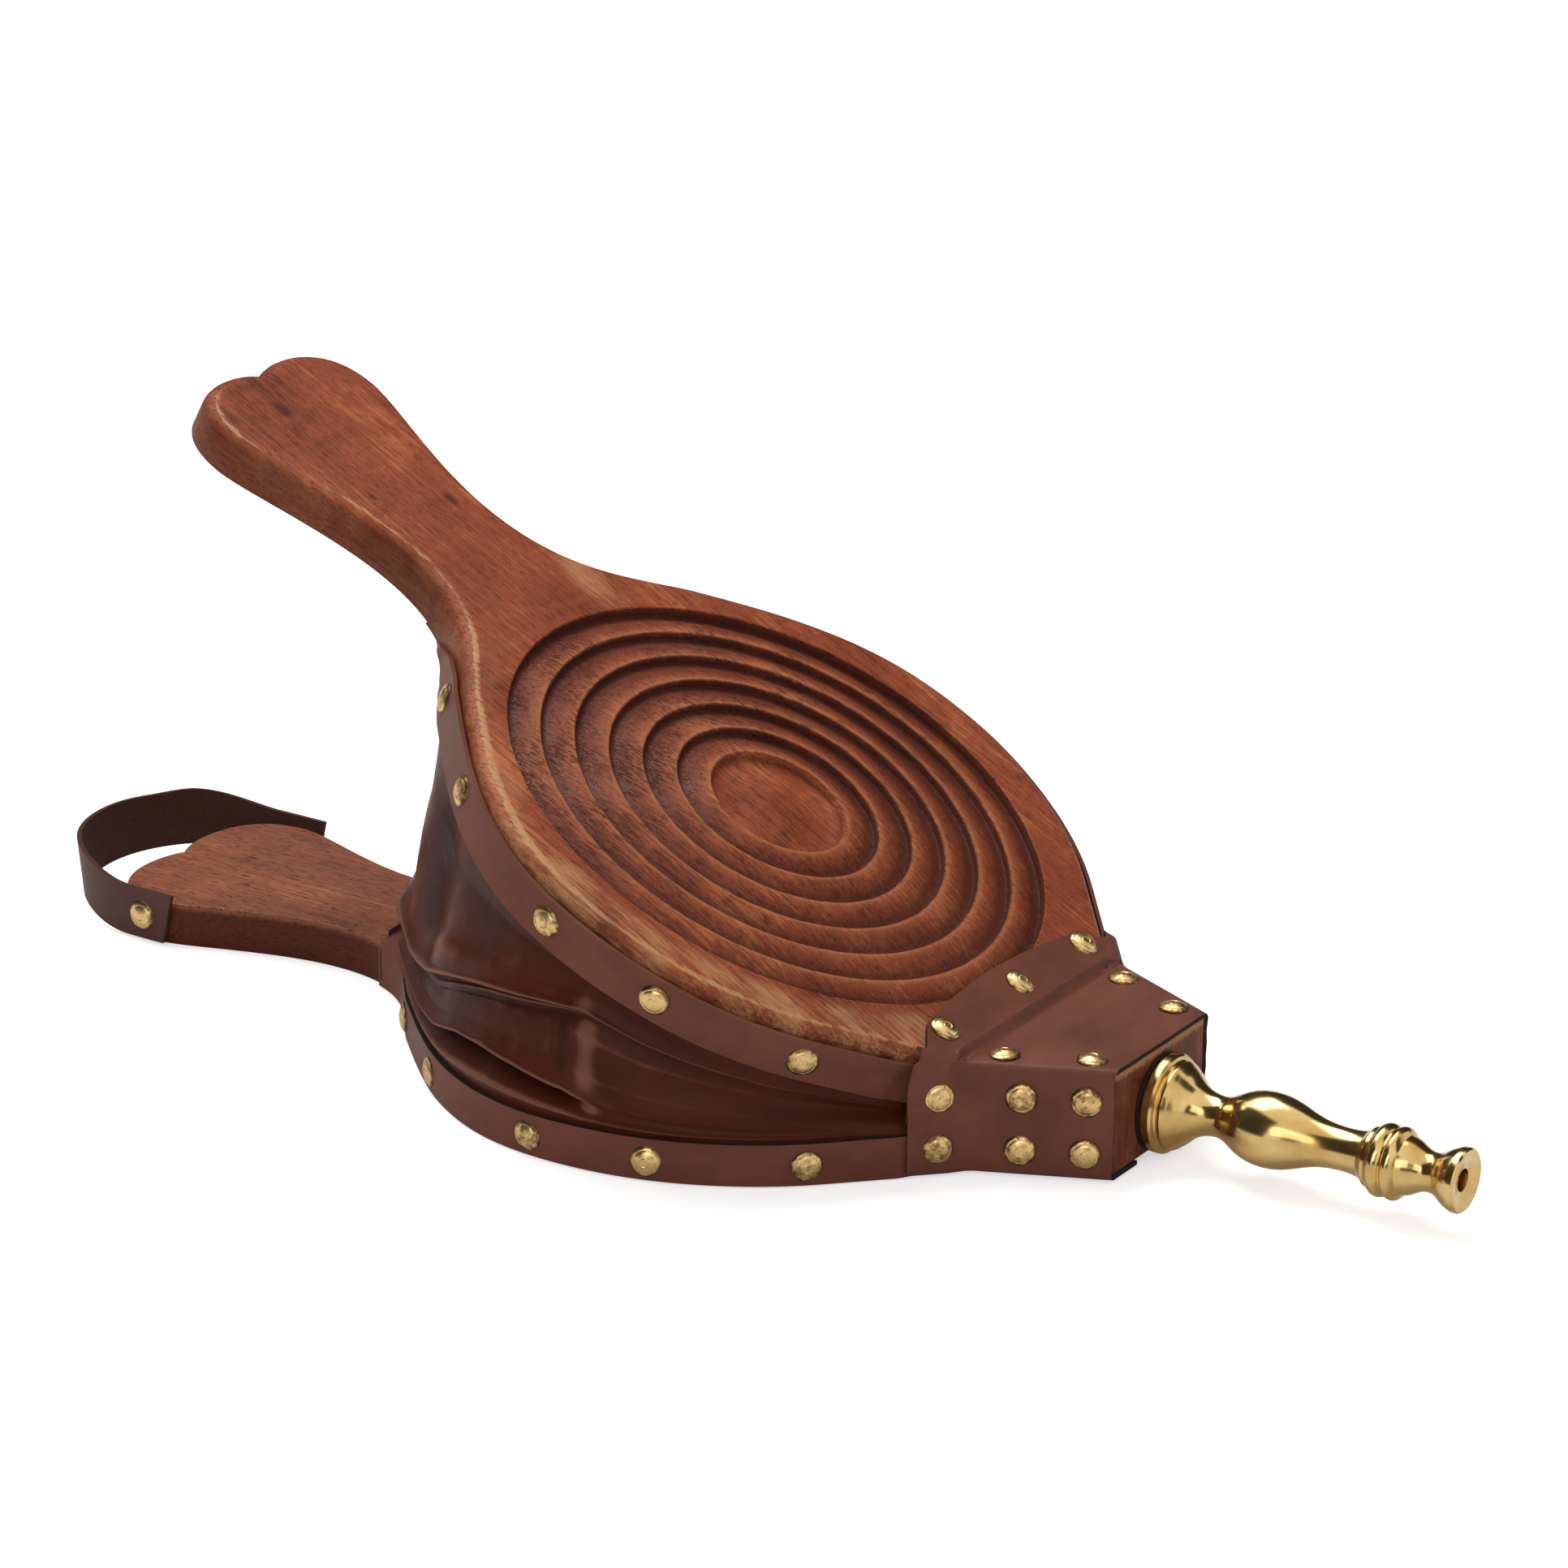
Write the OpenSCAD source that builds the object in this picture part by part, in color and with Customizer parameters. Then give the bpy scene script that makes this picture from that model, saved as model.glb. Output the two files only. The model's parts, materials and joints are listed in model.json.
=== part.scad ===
// Hand bellows: two paddle-shaped boards hinged at a nose block, with a pleated
// leather gusset between them, tacked leather bands, a brass nozzle and a strap.
// X runs towards the nozzle and Z is up. The origin is the centre of the air
// intake on the underside. The upper board is drawn shut, then swung open.

/* [Boards] */
// Radius of the round body of both boards
body_r = 105; // [86:0.5:128]
// Thickness of each board
board_t = 14; // [11.5:0.5:17]
// Length from the centre of the body to the end of the handles
handle_l = 221.5; // [184:0.5:268]
// Width of the handles at their narrowest
waist_w = 48; // [38:1:60]
// Width of the handles at their lobed ends
lobe_w = 78; // [65:1:94]
// Depth of the notch between the two lobes
notch_d = 3; // [1:0.5:6]
// Angle at which the upper board stands open
rest_open = 27.4; // [12:0.1:32]
// Clear height between the boards at the hinge when they lie parallel
shut_gap = 5.9; // [4:0.1:8]

/* [Carving] */
// Radius of the outermost carved step
ring_r = 88; // [70:1:92]
// Number of carved rings around the central dish
ring_count = 6; // [3:1:7]
// Distance from one carved step to the next
ring_pitch = 11; // [9:0.5:12]
// Depth of the carving below the face of the board
carve_d = 3.2; // [1.5:0.1:5]

/* [Nose block and nozzle] */
// Width of the nose block where it meets the boards
nose_rear_w = 90; // [76:1:108]
// Width of the nose block at its front face
nose_front_w = 52; // [43:1:63]
// Length of the nose block ahead of the hinge
nose_l = 40.6; // [36:0.2:50]
// How far the foot of the block reaches back under the upper board
nose_foot_l = 9.3; // [7.5:0.1:11.5]
// Height of the bevel that clears the upper board on the block's rear edge
nose_bevel_h = 8; // [6:0.5:10]
// Height of the block's underside above the ground
nose_lift = 2.2; // [2:0.1:3]
// Length of the bottom board's tongue under the block
tongue_l = 21; // [16:1:26]
// Height of the nozzle's axis above the ground
nozzle_z = 16.5; // [15.8:0.1:18]
// Radius of the nozzle's flange
flange_r = 15; // [12.5:0.1:15.2]
// Radius of the nozzle's outlet bore
outlet_r = 3.25; // [2.5:0.05:3.9]
// Length of the nozzle ahead of the block
nozzle_l = 100; // [84:1:120]
// Radius of the nozzle's tenon inside the block
tenon_r = 7; // [5.5:0.1:8.4]
// Length of the nozzle's tenon inside the block
tenon_l = 18; // [12:1:24]

/* [Leather] */
// Thickness of the bands, the wrap and the hinge strip
leather_t = 1.4; // [1:0.1:1.7]
// Thickness of the gusset's softer leather
gusset_t = 1; // [0.8:0.1:1.2]
// Height of the band around the bottom board
lower_band_h = 13; // [10:0.5:13.5]
// Height of the band around the upper board
upper_band_h = 14; // [11:0.5:16]
// Bare wood left above the band on the upper board's edge
bare_edge = 3.6; // [3:0.1:5]
// Depth of the gusset's folds at the handle end
fold_d = 9; // [5:0.5:12]

/* [Air intake and valve] */
// Radius of the air intake through the bottom board
intake_r = 14; // [11:0.5:17]
// Overlap of the valve flap around the intake
flap_lap = 6; // [4:0.5:8]

/* [Hanging strap] */
// Width of the strap
strap_w = 15.5; // [12:0.5:16]
// Thickness of the strap
strap_t = 1.5; // [1.2:0.1:2]
// How far the loop reaches behind the handle
strap_reach = 26; // [21:0.5:32]
// Distance of the strap's two tacks from the handle's end
strap_pin_back = 18.5; // [15:0.5:22]
// Height of the strap's two tacks
strap_pin_z = 8.6; // [8.4:0.1:9.4]

/* [Tacks] */
// Radius of a tack's domed head
tack_head_r = 4.75; // [3.9:0.05:5.2]
// Height of a tack's domed head
tack_head_h = 2; // [1.5:0.1:2.4]
// Radius of a tack's shank
tack_r = 1; // [0.7:0.05:1.2]
// Length of the shanks of the tacks in the boards' edges
tack_l = 12; // [8:1:14]
// Length of the shanks of the tacks in the nose wrap and the hinge strip
short_tack_l = 7.5; // [6:0.5:8]

/* [Hidden] */
$fn = 48;
fit = 0.05;        // slack of a fitted hole or layer
soft_gap = 0.3;    // slack between a soft piece and what moves beside it
seat_gap = 0.15;   // slack under a tack's head
over = 1;          // how far a cutter runs past a face

wood = [0.42, 0.20, 0.13];
leather = [0.28, 0.16, 0.13];
brass = [0.80, 0.62, 0.28];
black = [0.06, 0.05, 0.05];

// The nose: the body's 45 degree tangents run on to the block's rear corners.
tangent_sum = body_r * sqrt(2);
hinge_x = tangent_sum - nose_rear_w / 2;
front_x = hinge_x + nose_l;
foot_x = hinge_x - nose_foot_l;
hinge_lift = leather_t + 2 * fit;
under_z = board_t + shut_gap;
top_z = under_z + board_t;
nose_top = top_z;
hinge_z = top_z + hinge_lift;
tongue_top = 8;
tongue_w = 44;
channel_r = 4;
scoop_l = 13;
block_front_gap = 0.8;

// Leather edges near the nose.
wrap_rear_x = foot_x - 0.3;
band_end_x = wrap_rear_x - 0.2;
gusset_end_x = foot_x + 1;
strip_rear_x = hinge_x - 19.5;
strip_front_x = hinge_x - 2;
flap_w = 15;
hem_out = fit + gusset_t;
band_in = hem_out + fit;
band_out = band_in + leather_t;
head_seat = band_out + seat_gap;

// Handle outline: the lobes are widest at lobe_top, and the neck is narrowest at waist.
lobe_l = 22.5;
neck_l = 33;
lobe_h = lobe_w / 2;
waist_h = waist_w / 2;
lobe_top = [-handle_l + lobe_l, lobe_h];
waist = [-body_r - neck_l, waist_h];
shoulder = [-0.8 * body_r, 0.543 * body_r];
body_top = [0, body_r];

function bezier(a, b, c, d, n) =
    [for (i = [0:n - 1]) let (t = i / n, u = 1 - t)
        a * pow(u, 3) + 3 * b * t * pow(u, 2) + 3 * c * pow(t, 2) * u + d * pow(t, 3)];

lobe_curve = bezier([-handle_l + notch_d, 0], [-handle_l - 2.5, 0.23 * lobe_h],
                    [-handle_l - 3.5, lobe_h], lobe_top, 9);
handle_curve = bezier(lobe_top, lobe_top + [11, 0], waist - [24, 0], waist, 8);
neck_curve = bezier(waist, waist + [30, 0], shoulder - [13, 15], shoulder, 8);
back_curve = bezier(shoulder, shoulder + [24, 24], body_top - [38, 0], body_top, 9);
front_arc = [for (a = [90:-5:45]) body_r * [cos(a), sin(a)]];
nose_line = [for (x = [band_end_x, wrap_rear_x, gusset_end_x, hinge_x]) [x, tangent_sum - x]];
half = concat(lobe_curve, handle_curve, neck_curve, back_curve, front_arc, nose_line);
waist_i = len(lobe_curve) + len(handle_curve);

function flip(points) = [for (i = [len(points) - 1:-1:0]) [points[i][0], -points[i][1]]];
function reversed(points) = [for (i = [len(points) - 1:-1:0]) points[i]];
function along(points, i) =
    let (a = points[max(i - 1, 0)], b = points[min(i + 1, len(points) - 1)]) (b - a) / norm(b - a);
function outward(points, i) = let (t = along(points, i)) [-t[1], t[0]];
function index_at(x) = [for (i = [waist_i:len(half) - 1]) if (half[i][0] >= x) i][0];
function edge_run(x0, x1, d) =
    [for (i = [index_at(x0):index_at(x1)]) half[i] + d * outward(half, i)];
// Half outline of a board that ends at x_end.
function board_half(x_end) =
    concat([for (i = [0:len(half) - 1]) if (i < waist_i || half[i][0] < x_end - 0.01) half[i]],
           [[x_end, tangent_sum - x_end]]);
function closed_plan(points) = concat(points, [for (p = flip(points)) if (abs(p[1]) > 0.01) p]);

// A tack seat on the outline: the middle of the facet that holds x, and its outward angle.
function facet_at(x) = let (i = index_at(x), a = half[i - 1], b = half[i])
    [(a + b) / 2, atan2(b[0] - a[0], a[1] - b[1])];

band_tack_x = [-0.829, -0.5, -0.083, 0.318, 0.675] * body_r;

// Turns what is drawn shut to the angle at which the upper board stands open.
function swing(p, a) =
    let (dx = p[0] - hinge_x, dz = p[2] - hinge_z)
    [hinge_x + dx * cos(a) + dz * sin(a), p[1], hinge_z - dx * sin(a) + dz * cos(a)];

module opened() {
    translate([hinge_x, 0, hinge_z])
        rotate([0, rest_open, 0])
            translate([-hinge_x, 0, -hinge_z])
                children();
}

module both_sides() {
    children();
    mirror([0, 1, 0]) children();
}

module board_blank(x_end) {
    linear_extrude(board_t) polygon(closed_plan(board_half(x_end)));
}

// A domed tack with its head's flat base at z = 0 and its shank below.
module tack(length = tack_l, head_r = tack_head_r, head_h = tack_head_h, shank_r = tack_r) {
    rotate_extrude()
        polygon([[0, head_h], [0.35 * head_r, 0.94 * head_h], [0.68 * head_r, 0.72 * head_h],
                 [0.9 * head_r, 0.38 * head_h], [head_r, 0.12 * head_h], [head_r, 0],
                 [shank_r, 0], [shank_r, -length + 2 * shank_r], [0.1 * shank_r, -length],
                 [0, -length]]);
}

module pilot(length = tack_l, shank_r = tack_r) {
    translate([0, 0, -length - 0.3]) cylinder(r = shank_r + fit, h = length + 0.3 + tack_head_h);
}

// Places children at the band's tack seats on one side, pointing outwards.
module at_band_tacks(z) {
    for (x = band_tack_x) {
        seat = facet_at(x);
        translate([seat[0][0], seat[0][1], z])
            rotate([0, 0, seat[1]])
                translate([head_seat, 0, 0])
                    rotate([0, 90, 0])
                        children();
    }
}

// ---- Bottom board and what it carries ----

lower_tack_z = lower_band_h / 2;

module at_strap_tacks(side) {
    both_sides()
        translate([pin_x, side, strap_pin_z])
            rotate([-90, 0, 0])
                children();
}

module at_screws() {
    for (y = [-14, 14])
        translate([hinge_x + tongue_l / 2, y, nose_lift]) children();
}

module at_valve_tacks() {
    for (y = [-14, 0, 14])
        translate([valve_hinge_x + valve_tack_in, y, board_t + soft_gap + valve_t]) children();
}

module screw_shape(slack = 0) {
    cylinder(r1 = screw_head_r + slack, r2 = screw_r + slack, h = screw_head_h);
    cylinder(r = screw_r + slack, h = screw_l + slack);
}

module bottom_board() {
    color(wood)
    difference() {
        union() {
            board_blank(hinge_x);
            translate([hinge_x - over, -tongue_w / 2, nose_lift])
                cube([tongue_l + over, tongue_w, tongue_top - nose_lift]);
        }
        translate([0, 0, -over]) cylinder(r = intake_r, h = board_t + 2 * over);
        translate([foot_x - scoop_l, 0, nozzle_z])
            rotate([0, 90, 0])
                cylinder(r = channel_r, h = scoop_l + nose_foot_l + over);
        both_sides() {
            at_band_tacks(lower_tack_z) pilot();
            at_side_tacks(low_tack_z) pilot(short_tack_l);
        }
        at_strap_tacks(strap_seat) pilot();
        at_screws() screw_shape(fit);
        at_valve_tacks() pilot(valve_tack_l, valve_tack_r);
    }
}

// ---- Nose block, its wrap and the nozzle ----

// Plan of the block: its foot stays inside the gusset, then its sides taper to the front face.
foot_inset = 1.2;
taper = atan2((nose_rear_w - nose_front_w) / 2, nose_l);
block_side = [[foot_x, tangent_sum - foot_x - foot_inset], [hinge_x, nose_rear_w / 2 - foot_inset],
              [hinge_x + foot_inset, nose_rear_w / 2 - foot_inset * tan(taper)],
              [front_x, nose_front_w / 2]];
low_tack_z = nose_lift + 6.6;
high_tack_z = nose_top - 8.8;
screw_head_r = 3.4;
screw_head_h = 2.2;
screw_r = 1.75;
screw_l = 20;

module nose_block() {
    color(wood)
    difference() {
        intersection() {
            translate([0, 0, nose_lift - over])
                linear_extrude(nose_top + over) polygon(concat(block_side, flip(block_side)));
            rotate([90, 0, 0])
                linear_extrude(4 * body_r, center = true)
                    polygon([[foot_x, board_t + fit], [foot_x, nose_top - nose_bevel_h],
                             [hinge_x, nose_top],
                             [front_x, nose_top], [front_x, nose_lift],
                             [hinge_x + fit, nose_lift], [hinge_x + fit, board_t + fit]]);
        }
        translate([hinge_x - over, -tongue_w / 2 - fit, nose_lift - over])
            cube([tongue_l + over + fit, tongue_w + 2 * fit, tongue_top - nose_lift + over + fit]);
        translate([foot_x - over, 0, nozzle_z])
            rotate([0, 90, 0])
                cylinder(r = channel_r, h = nose_l + nose_foot_l + 2 * over);
        translate([front_x - tenon_l - 0.5, 0, nozzle_z])
            rotate([0, 90, 0])
                cylinder(r = tenon_r + fit, h = tenon_l + over + 0.5);
        both_sides() {
            at_side_tacks(low_tack_z) pilot(short_tack_l);
            at_side_tacks(high_tack_z) pilot(short_tack_l);
            at_top_tacks() pilot(short_tack_l);
            at_bottom_tacks() pilot(short_tack_l);
        }
        at_screws() screw_shape(fit);
    }
}

module block_screws() {
    color([0.55, 0.55, 0.55]) at_screws() screw_shape();
}

// Turned profile of the nozzle as [distance from the block, radius]. The stem between the
// flange and the collar takes up the nozzle's length.
washer_t = 1.2;
collar_l = 30.5;
stem_r = outlet_r + 2.2;
bulb_r = 11.2;
stem_end = nozzle_l - collar_l - 5.5;
flare_x = 0.31 * stem_end;
bulb_x = 0.58 * stem_end;
nozzle_front = concat(
    [[washer_t, 0.9 * flange_r], [washer_t + 0.8, flange_r], [washer_t + 3, flange_r],
     [washer_t + 4, 0.9 * flange_r], [washer_t + 5.6, 0.91 * flange_r],
     [washer_t + 6.6, 0.82 * flange_r]],
    bezier([washer_t + 7, 0.8 * flange_r], [washer_t + 9.3, 0.55 * flange_r],
           [0.7 * flare_x, stem_r], [flare_x, stem_r], 5),
    bezier([flare_x, stem_r], [1.3 * flare_x, stem_r], [0.76 * bulb_x, bulb_r],
           [bulb_x, bulb_r], 5),
    bezier([bulb_x, bulb_r], [1.27 * bulb_x, bulb_r], [0.78 * stem_end, stem_r + 0.7],
           [stem_end, stem_r + 0.7], 6));
nozzle_collar = [[-30.5, stem_r + 0.9], [-29.5, 8.6], [-27.2, 9.2], [-26.2, 10.8], [-24, 10.8],
                 [-23.2, 9.6], [-22.4, 10.8], [-20, 10.8], [-19, 8.8]];
nozzle_tip = concat(bezier([-17.5, 8.6], [-14, 8], [-12.5, stem_r], [-10, stem_r], 4),
                    bezier([-10, stem_r], [-7, stem_r], [-5, 9.4], [-2.6, 9.4], 4),
                    [[-2.6, 9.6], [-0.6, 9.8], [0, 9.2]]);

module nozzle() {
    profile = concat([[-tenon_l, outlet_r], [-tenon_l, tenon_r], [washer_t, tenon_r]],
                     nozzle_front, [for (p = nozzle_collar) [nozzle_l + p[0], p[1]]],
                     [for (p = nozzle_tip) [nozzle_l + p[0], p[1]]], [[nozzle_l, outlet_r]]);
    color(brass)
    translate([front_x, 0, nozzle_z])
        rotate([0, 90, 0])
            rotate_extrude()
                polygon([for (p = profile) [p[1], p[0]]]);
}

module nozzle_washer() {
    color(black)
    translate([front_x + fit, 0, nozzle_z])
        rotate([0, 90, 0])
            difference() {
                cylinder(r = flange_r - 0.4, h = washer_t - 2 * fit);
                translate([0, 0, -over]) cylinder(r = tenon_r + fit, h = washer_t + 2 * over);
            }
}

// Side tacks: one on the 45 degree edge behind the hinge, two on the block's taper.
wrap_off = band_in + leather_t;
rear_tack_in = 4.1;
module at_side_tacks(z) {
    rear_x = foot_x + rear_tack_in;
    translate([rear_x, tangent_sum - rear_x, z])
        rotate([0, 0, 45])
            translate([head_seat, 0, 0]) rotate([0, 90, 0]) children();
    for (d = [0.39, 0.81] * nose_l)
        translate([hinge_x + d, nose_rear_w / 2 - d * tan(taper), z])
            rotate([0, 0, 90 - taper])
                translate([leather_t + fit + seat_gap, 0, 0]) rotate([0, 90, 0]) children();
}

top_tack_in = 6.4;
module at_top_tacks() {
    for (d = [0.2, 0.77] * nose_l)
        translate([hinge_x + d, nose_rear_w / 2 - d * tan(taper) - top_tack_in,
                   hinge_z + seat_gap])
            children();
}

// The tacks in the underside laps are worn flat, and their heads touch the ground.
bottom_tack_in = 8;
worn_head_h = nose_lift - hinge_lift;
module at_bottom_tacks() {
    for (d = [0.42, 0.85] * nose_l)
        translate([hinge_x + d, nose_rear_w / 2 - d * tan(taper) - bottom_tack_in, worn_head_h])
            rotate([180, 0, 0])
                children();
}

// Outer and inner lines of the wrap's side panel.
function wrap_line(rear_d, front_d) =
    let (n45 = [sin(45), cos(45)], nt = [sin(taper), cos(taper)],
         corner = [hinge_x, nose_rear_w / 2], front = [front_x, nose_front_w / 2])
    [[wrap_rear_x, tangent_sum - wrap_rear_x] + rear_d * n45,
     corner + rear_d * [sin(22), cos(22)],
     corner + [4.5, -4.5 * tan(taper)] + front_d * nt,
     front + front_d * nt];

module nose_wrap() {
    outer = wrap_line(wrap_off, leather_t + fit);
    inner = wrap_line(band_in, fit);
    top_outer = [[hinge_x + 0.4, nose_rear_w / 2 + leather_t], outer[2], outer[3]];
    lap = [for (p = [outer[2], outer[3]]) p - [0, flap_w]];
    color(leather)
    difference() {
        union() {
            both_sides() {
                translate([0, 0, nose_lift - hinge_lift + fit])
                    linear_extrude(hinge_z - nose_lift + hinge_lift - fit)
                        polygon(concat(outer, reversed(inner)));
                translate([0, 0, nose_lift - hinge_lift + fit])
                    linear_extrude(leather_t) polygon(concat([outer[2], outer[3]], reversed(lap)));
            }
            translate([0, 0, nose_top + fit])
                linear_extrude(hinge_z - nose_top - fit)
                    polygon(concat(top_outer, flip(top_outer)));
        }
        both_sides() {
            at_side_tacks(low_tack_z) pilot(short_tack_l);
            at_side_tacks(high_tack_z) pilot(short_tack_l);
            at_top_tacks() pilot(short_tack_l);
            at_bottom_tacks() pilot(short_tack_l);
        }
    }
}

module wrap_side_tacks_left() {
    color(brass) {
        at_side_tacks(low_tack_z) tack(short_tack_l);
        at_side_tacks(high_tack_z) tack(short_tack_l);
    }
}

module wrap_side_tacks_right() {
    mirror([0, 1, 0]) wrap_side_tacks_left();
}

module wrap_top_tacks() {
    color(brass) both_sides() at_top_tacks() tack(short_tack_l);
}

module wrap_bottom_tacks() {
    color(brass) both_sides() at_bottom_tacks() tack(short_tack_l, tack_head_r, worn_head_h);
}

// ---- Bands ----

// A band along both edges, and a strip across the neck, "up" from the board's inner face.
module edge_band(x0) {
    both_sides()
        polygon(concat(edge_run(x0, band_end_x, band_out),
                       reversed(edge_run(x0, band_end_x, band_in))));
}

band_start_x = shoulder[0] - 12;
neck_strip_w = 12;

module neck_strip() {
    translate([waist[0] + 20, -waist_h - 2, fit])
        rotate([0, -38, 0])
            cube([neck_strip_w, waist_w + 4, leather_t]);
}

module lower_band() {
    color(leather)
    difference() {
        union() {
            translate([0, 0, 0.5]) linear_extrude(lower_band_h) edge_band(band_start_x);
            translate([0, 0, board_t]) neck_strip();
        }
        both_sides() at_band_tacks(lower_tack_z) pilot();
    }
}

module lower_band_tacks_left() {
    color(brass) at_band_tacks(lower_tack_z) tack();
}

module lower_band_tacks_right() {
    mirror([0, 1, 0]) lower_band_tacks_left();
}

upper_band_z = top_z - bare_edge - upper_band_h;
upper_tack_z = upper_band_z + upper_band_h / 2;

module upper_band() {
    color(leather)
    opened()
        difference() {
            union() {
                translate([0, 0, upper_band_z]) linear_extrude(upper_band_h) edge_band(band_start_x);
                translate([0, 0, under_z]) mirror([0, 0, 1]) neck_strip();
            }
            both_sides() at_band_tacks(upper_tack_z) pilot();
        }
}

module upper_band_tacks_left() {
    color(brass) opened() at_band_tacks(upper_tack_z) tack();
}

module upper_band_tacks_right() {
    color(brass) opened() mirror([0, 1, 0]) at_band_tacks(upper_tack_z) tack();
}

// ---- Gusset ----

// Folds of the gusset: [share of the opening, depth of fold inwards as a share of fold_d].
folds = [[0.04, 0.25], [0.1, 0.9], [0.19, 0.15], [0.26, 0.85], [0.35, 0], [0.55, 0.3], [0.8, 0.25],
         [0.95, 0.15]];
hem_up = 5.4;
hem_down = 2.2;
fold_front_x = foot_x - 1;
fold_rear_x = band_start_x - 12;
// Stations around the edge: [point, outward normal, whether the hem lies on the board's edge].
hem_i = index_at(band_start_x);
side_stations = [for (i = [len(half) - 2:-1:hem_i]) [half[i], outward(half, i), true]];
turn_station = [half[hem_i - 1], outward(half, hem_i - 1), false];
neck_stations = [[[fold_rear_x + 3, 0.45 * waist_h * 2], [-1, 0.25], false],
                 [[fold_rear_x, 0], [-1, 0], false]];
half_run = concat(side_stations, [turn_station], neck_stations);
stations = concat(half_run, [for (i = [len(half_run) - 2:-1:0]) let (s = half_run[i])
                             [[s[0][0], -s[0][1]], [s[1][0], -s[1][1]], s[2]]]);

function fold_share(x) = min(1, max(0, (fold_front_x - x) / (fold_front_x - fold_rear_x)));
// Towards the nose the opened upper band lies further back, so the leather draws in under it.
function draw_in(s, share) =
    share < 0.5 ? 0 : (hinge_z - board_t) * sin((1 - share) * rest_open) * max(0, s[1][0]);

// One station's points, from the lower hem to the upper hem, "d" inside the outer face.
function gusset_column(s, d) =
    let (low = board_t + fit, high = under_z - fit,
         reach = hem_out - d,
         spot = s[0] + reach * s[1],
         rise = high - low)
    concat(
        [[spot[0], spot[1], s[2] ? low - hem_up : low],
         [spot[0], spot[1], s[2] ? low : low + 0.5]],
        [for (f = folds)
            let (q = s[0] + (reach - f[1] * fold_d * fold_share(s[0][0]) - draw_in(s, f[0])) * s[1])
            swing([q[0], q[1], low + 0.6 + (rise - 1.2) * f[0]], f[0] * rest_open)],
        [swing([spot[0], spot[1], s[2] ? high : high - 0.5], rest_open),
         swing([spot[0], spot[1], s[2] ? high + hem_down : high], rest_open)]);

module gusset() {
    rows = len(folds) + 4;
    ring = 2 * rows;
    count = len(stations);
    points = [for (s = stations) each concat(gusset_column(s, 0),
                                             reversed(gusset_column(s, gusset_t)))];
    walls = [for (i = [0:count - 2], j = [0:ring - 1])
        let (a = i * ring + j, b = i * ring + (j + 1) % ring, c = b + ring, d = a + ring)
        each [[a, b, c], [a, c, d]]];
    caps = [for (j = [0:rows - 2])
        let (o0 = j, o1 = j + 1, i0 = ring - 1 - j, i1 = ring - 2 - j, e = (count - 1) * ring)
        each [[o0, i0, i1], [o0, i1, o1], [e + o0, e + o1, e + i1], [e + o0, e + i1, e + i0]]];
    color(leather) polyhedron(points, concat(walls, caps), convexity = 10);
}

// ---- Valve ----

valve_t = 1.4;
valve_tack_r = 0.8;
valve_tack_l = 8;
valve_tack_in = 5.5;
valve_hem_l = 10;
valve_hinge_x = intake_r + flap_lap + 2;
flap_h = intake_r + flap_lap;

module valve_hem() {
    color(leather)
    difference() {
        translate([valve_hinge_x + soft_gap, -flap_h, board_t + fit]) cube([valve_hem_l, 2 * flap_h, valve_t]);
        at_valve_tacks() pilot(valve_tack_l, valve_tack_r);
    }
}

module valve_tacks() {
    color(brass) at_valve_tacks() tack(valve_tack_l, 2.6, 1, valve_tack_r);
}

module valve_flap() {
    color(leather)
    translate([0, 0, board_t + soft_gap])
        linear_extrude(valve_t)
            union() {
                circle(r = flap_h, $fn = 96);
                translate([0, -flap_h]) square([valve_hinge_x, 2 * flap_h]);
            }
}

// ---- Hanging strap ----

strap_in = lobe_h + soft_gap;
strap_seat = strap_in + strap_t + seat_gap;
pin_x = -handle_l + strap_pin_back;
strap_turn_x = pin_x - 4;
strap_end_x = -handle_l - strap_reach;
strap_tail = 9.9;

module strap_tacks() {
    color(brass) at_strap_tacks(strap_seat) tack();
}

// Half loop in plan: a straight arm past the tack, then a quarter of an ellipse.
function strap_half(d) =
    concat([[pin_x + strap_tail, strap_in + d]],
           [for (a = [0:7.5:90]) [strap_turn_x - (strap_turn_x - strap_end_x + d) * sin(a),
                                  (strap_in + d) * cos(a)]]);

module hanging_strap() {
    line_in = concat(strap_half(0), [for (p = flip(strap_half(0))) if (p[1] < -0.01) p]);
    line_out = concat(strap_half(strap_t), [for (p = flip(strap_half(strap_t))) if (p[1] < -0.01) p]);
    color(leather)
    difference() {
        translate([0, 0, strap_pin_z - strap_w / 2])
            linear_extrude(strap_w) polygon(concat(line_out, reversed(line_in)));
        // The ends are cut on the slant, clear of the ground as the loop swings up.
        translate([pin_x + 0.7 * strap_tail, 0, strap_pin_z])
            rotate([0, 22, 0])
                translate([0, -2 * lobe_w, -strap_w])
                    cube([20, 4 * lobe_w, 2 * strap_w]);
        at_strap_tacks(strap_seat) pilot();
    }
}

// ---- Upper board and what it carries ----

// Carved face of revolution: each ring drops at its outer step and swells up to the next.
crest_d = 0.9;
dish_r = ring_r - ring_count * ring_pitch;
carving = concat(
    [[ring_r, over], [ring_r, 0]],
    [for (i = [0:ring_count - 1]) let (r = ring_r - i * ring_pitch)
        each [[r - 0.4, -carve_d], [r - 0.18 * ring_pitch, -carve_d],
              [r - 0.4 * ring_pitch, -0.62 * carve_d], [r - 0.65 * ring_pitch, -0.4 * carve_d],
              [r - 0.88 * ring_pitch, -crest_d]]],
    [[dish_r, -crest_d - 0.3], [dish_r - 0.6, -carve_d], [0.75 * dish_r, -1.1 * carve_d],
     [0.4 * dish_r, -0.8 * carve_d], [0, -0.65 * carve_d], [0, over]]);

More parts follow.
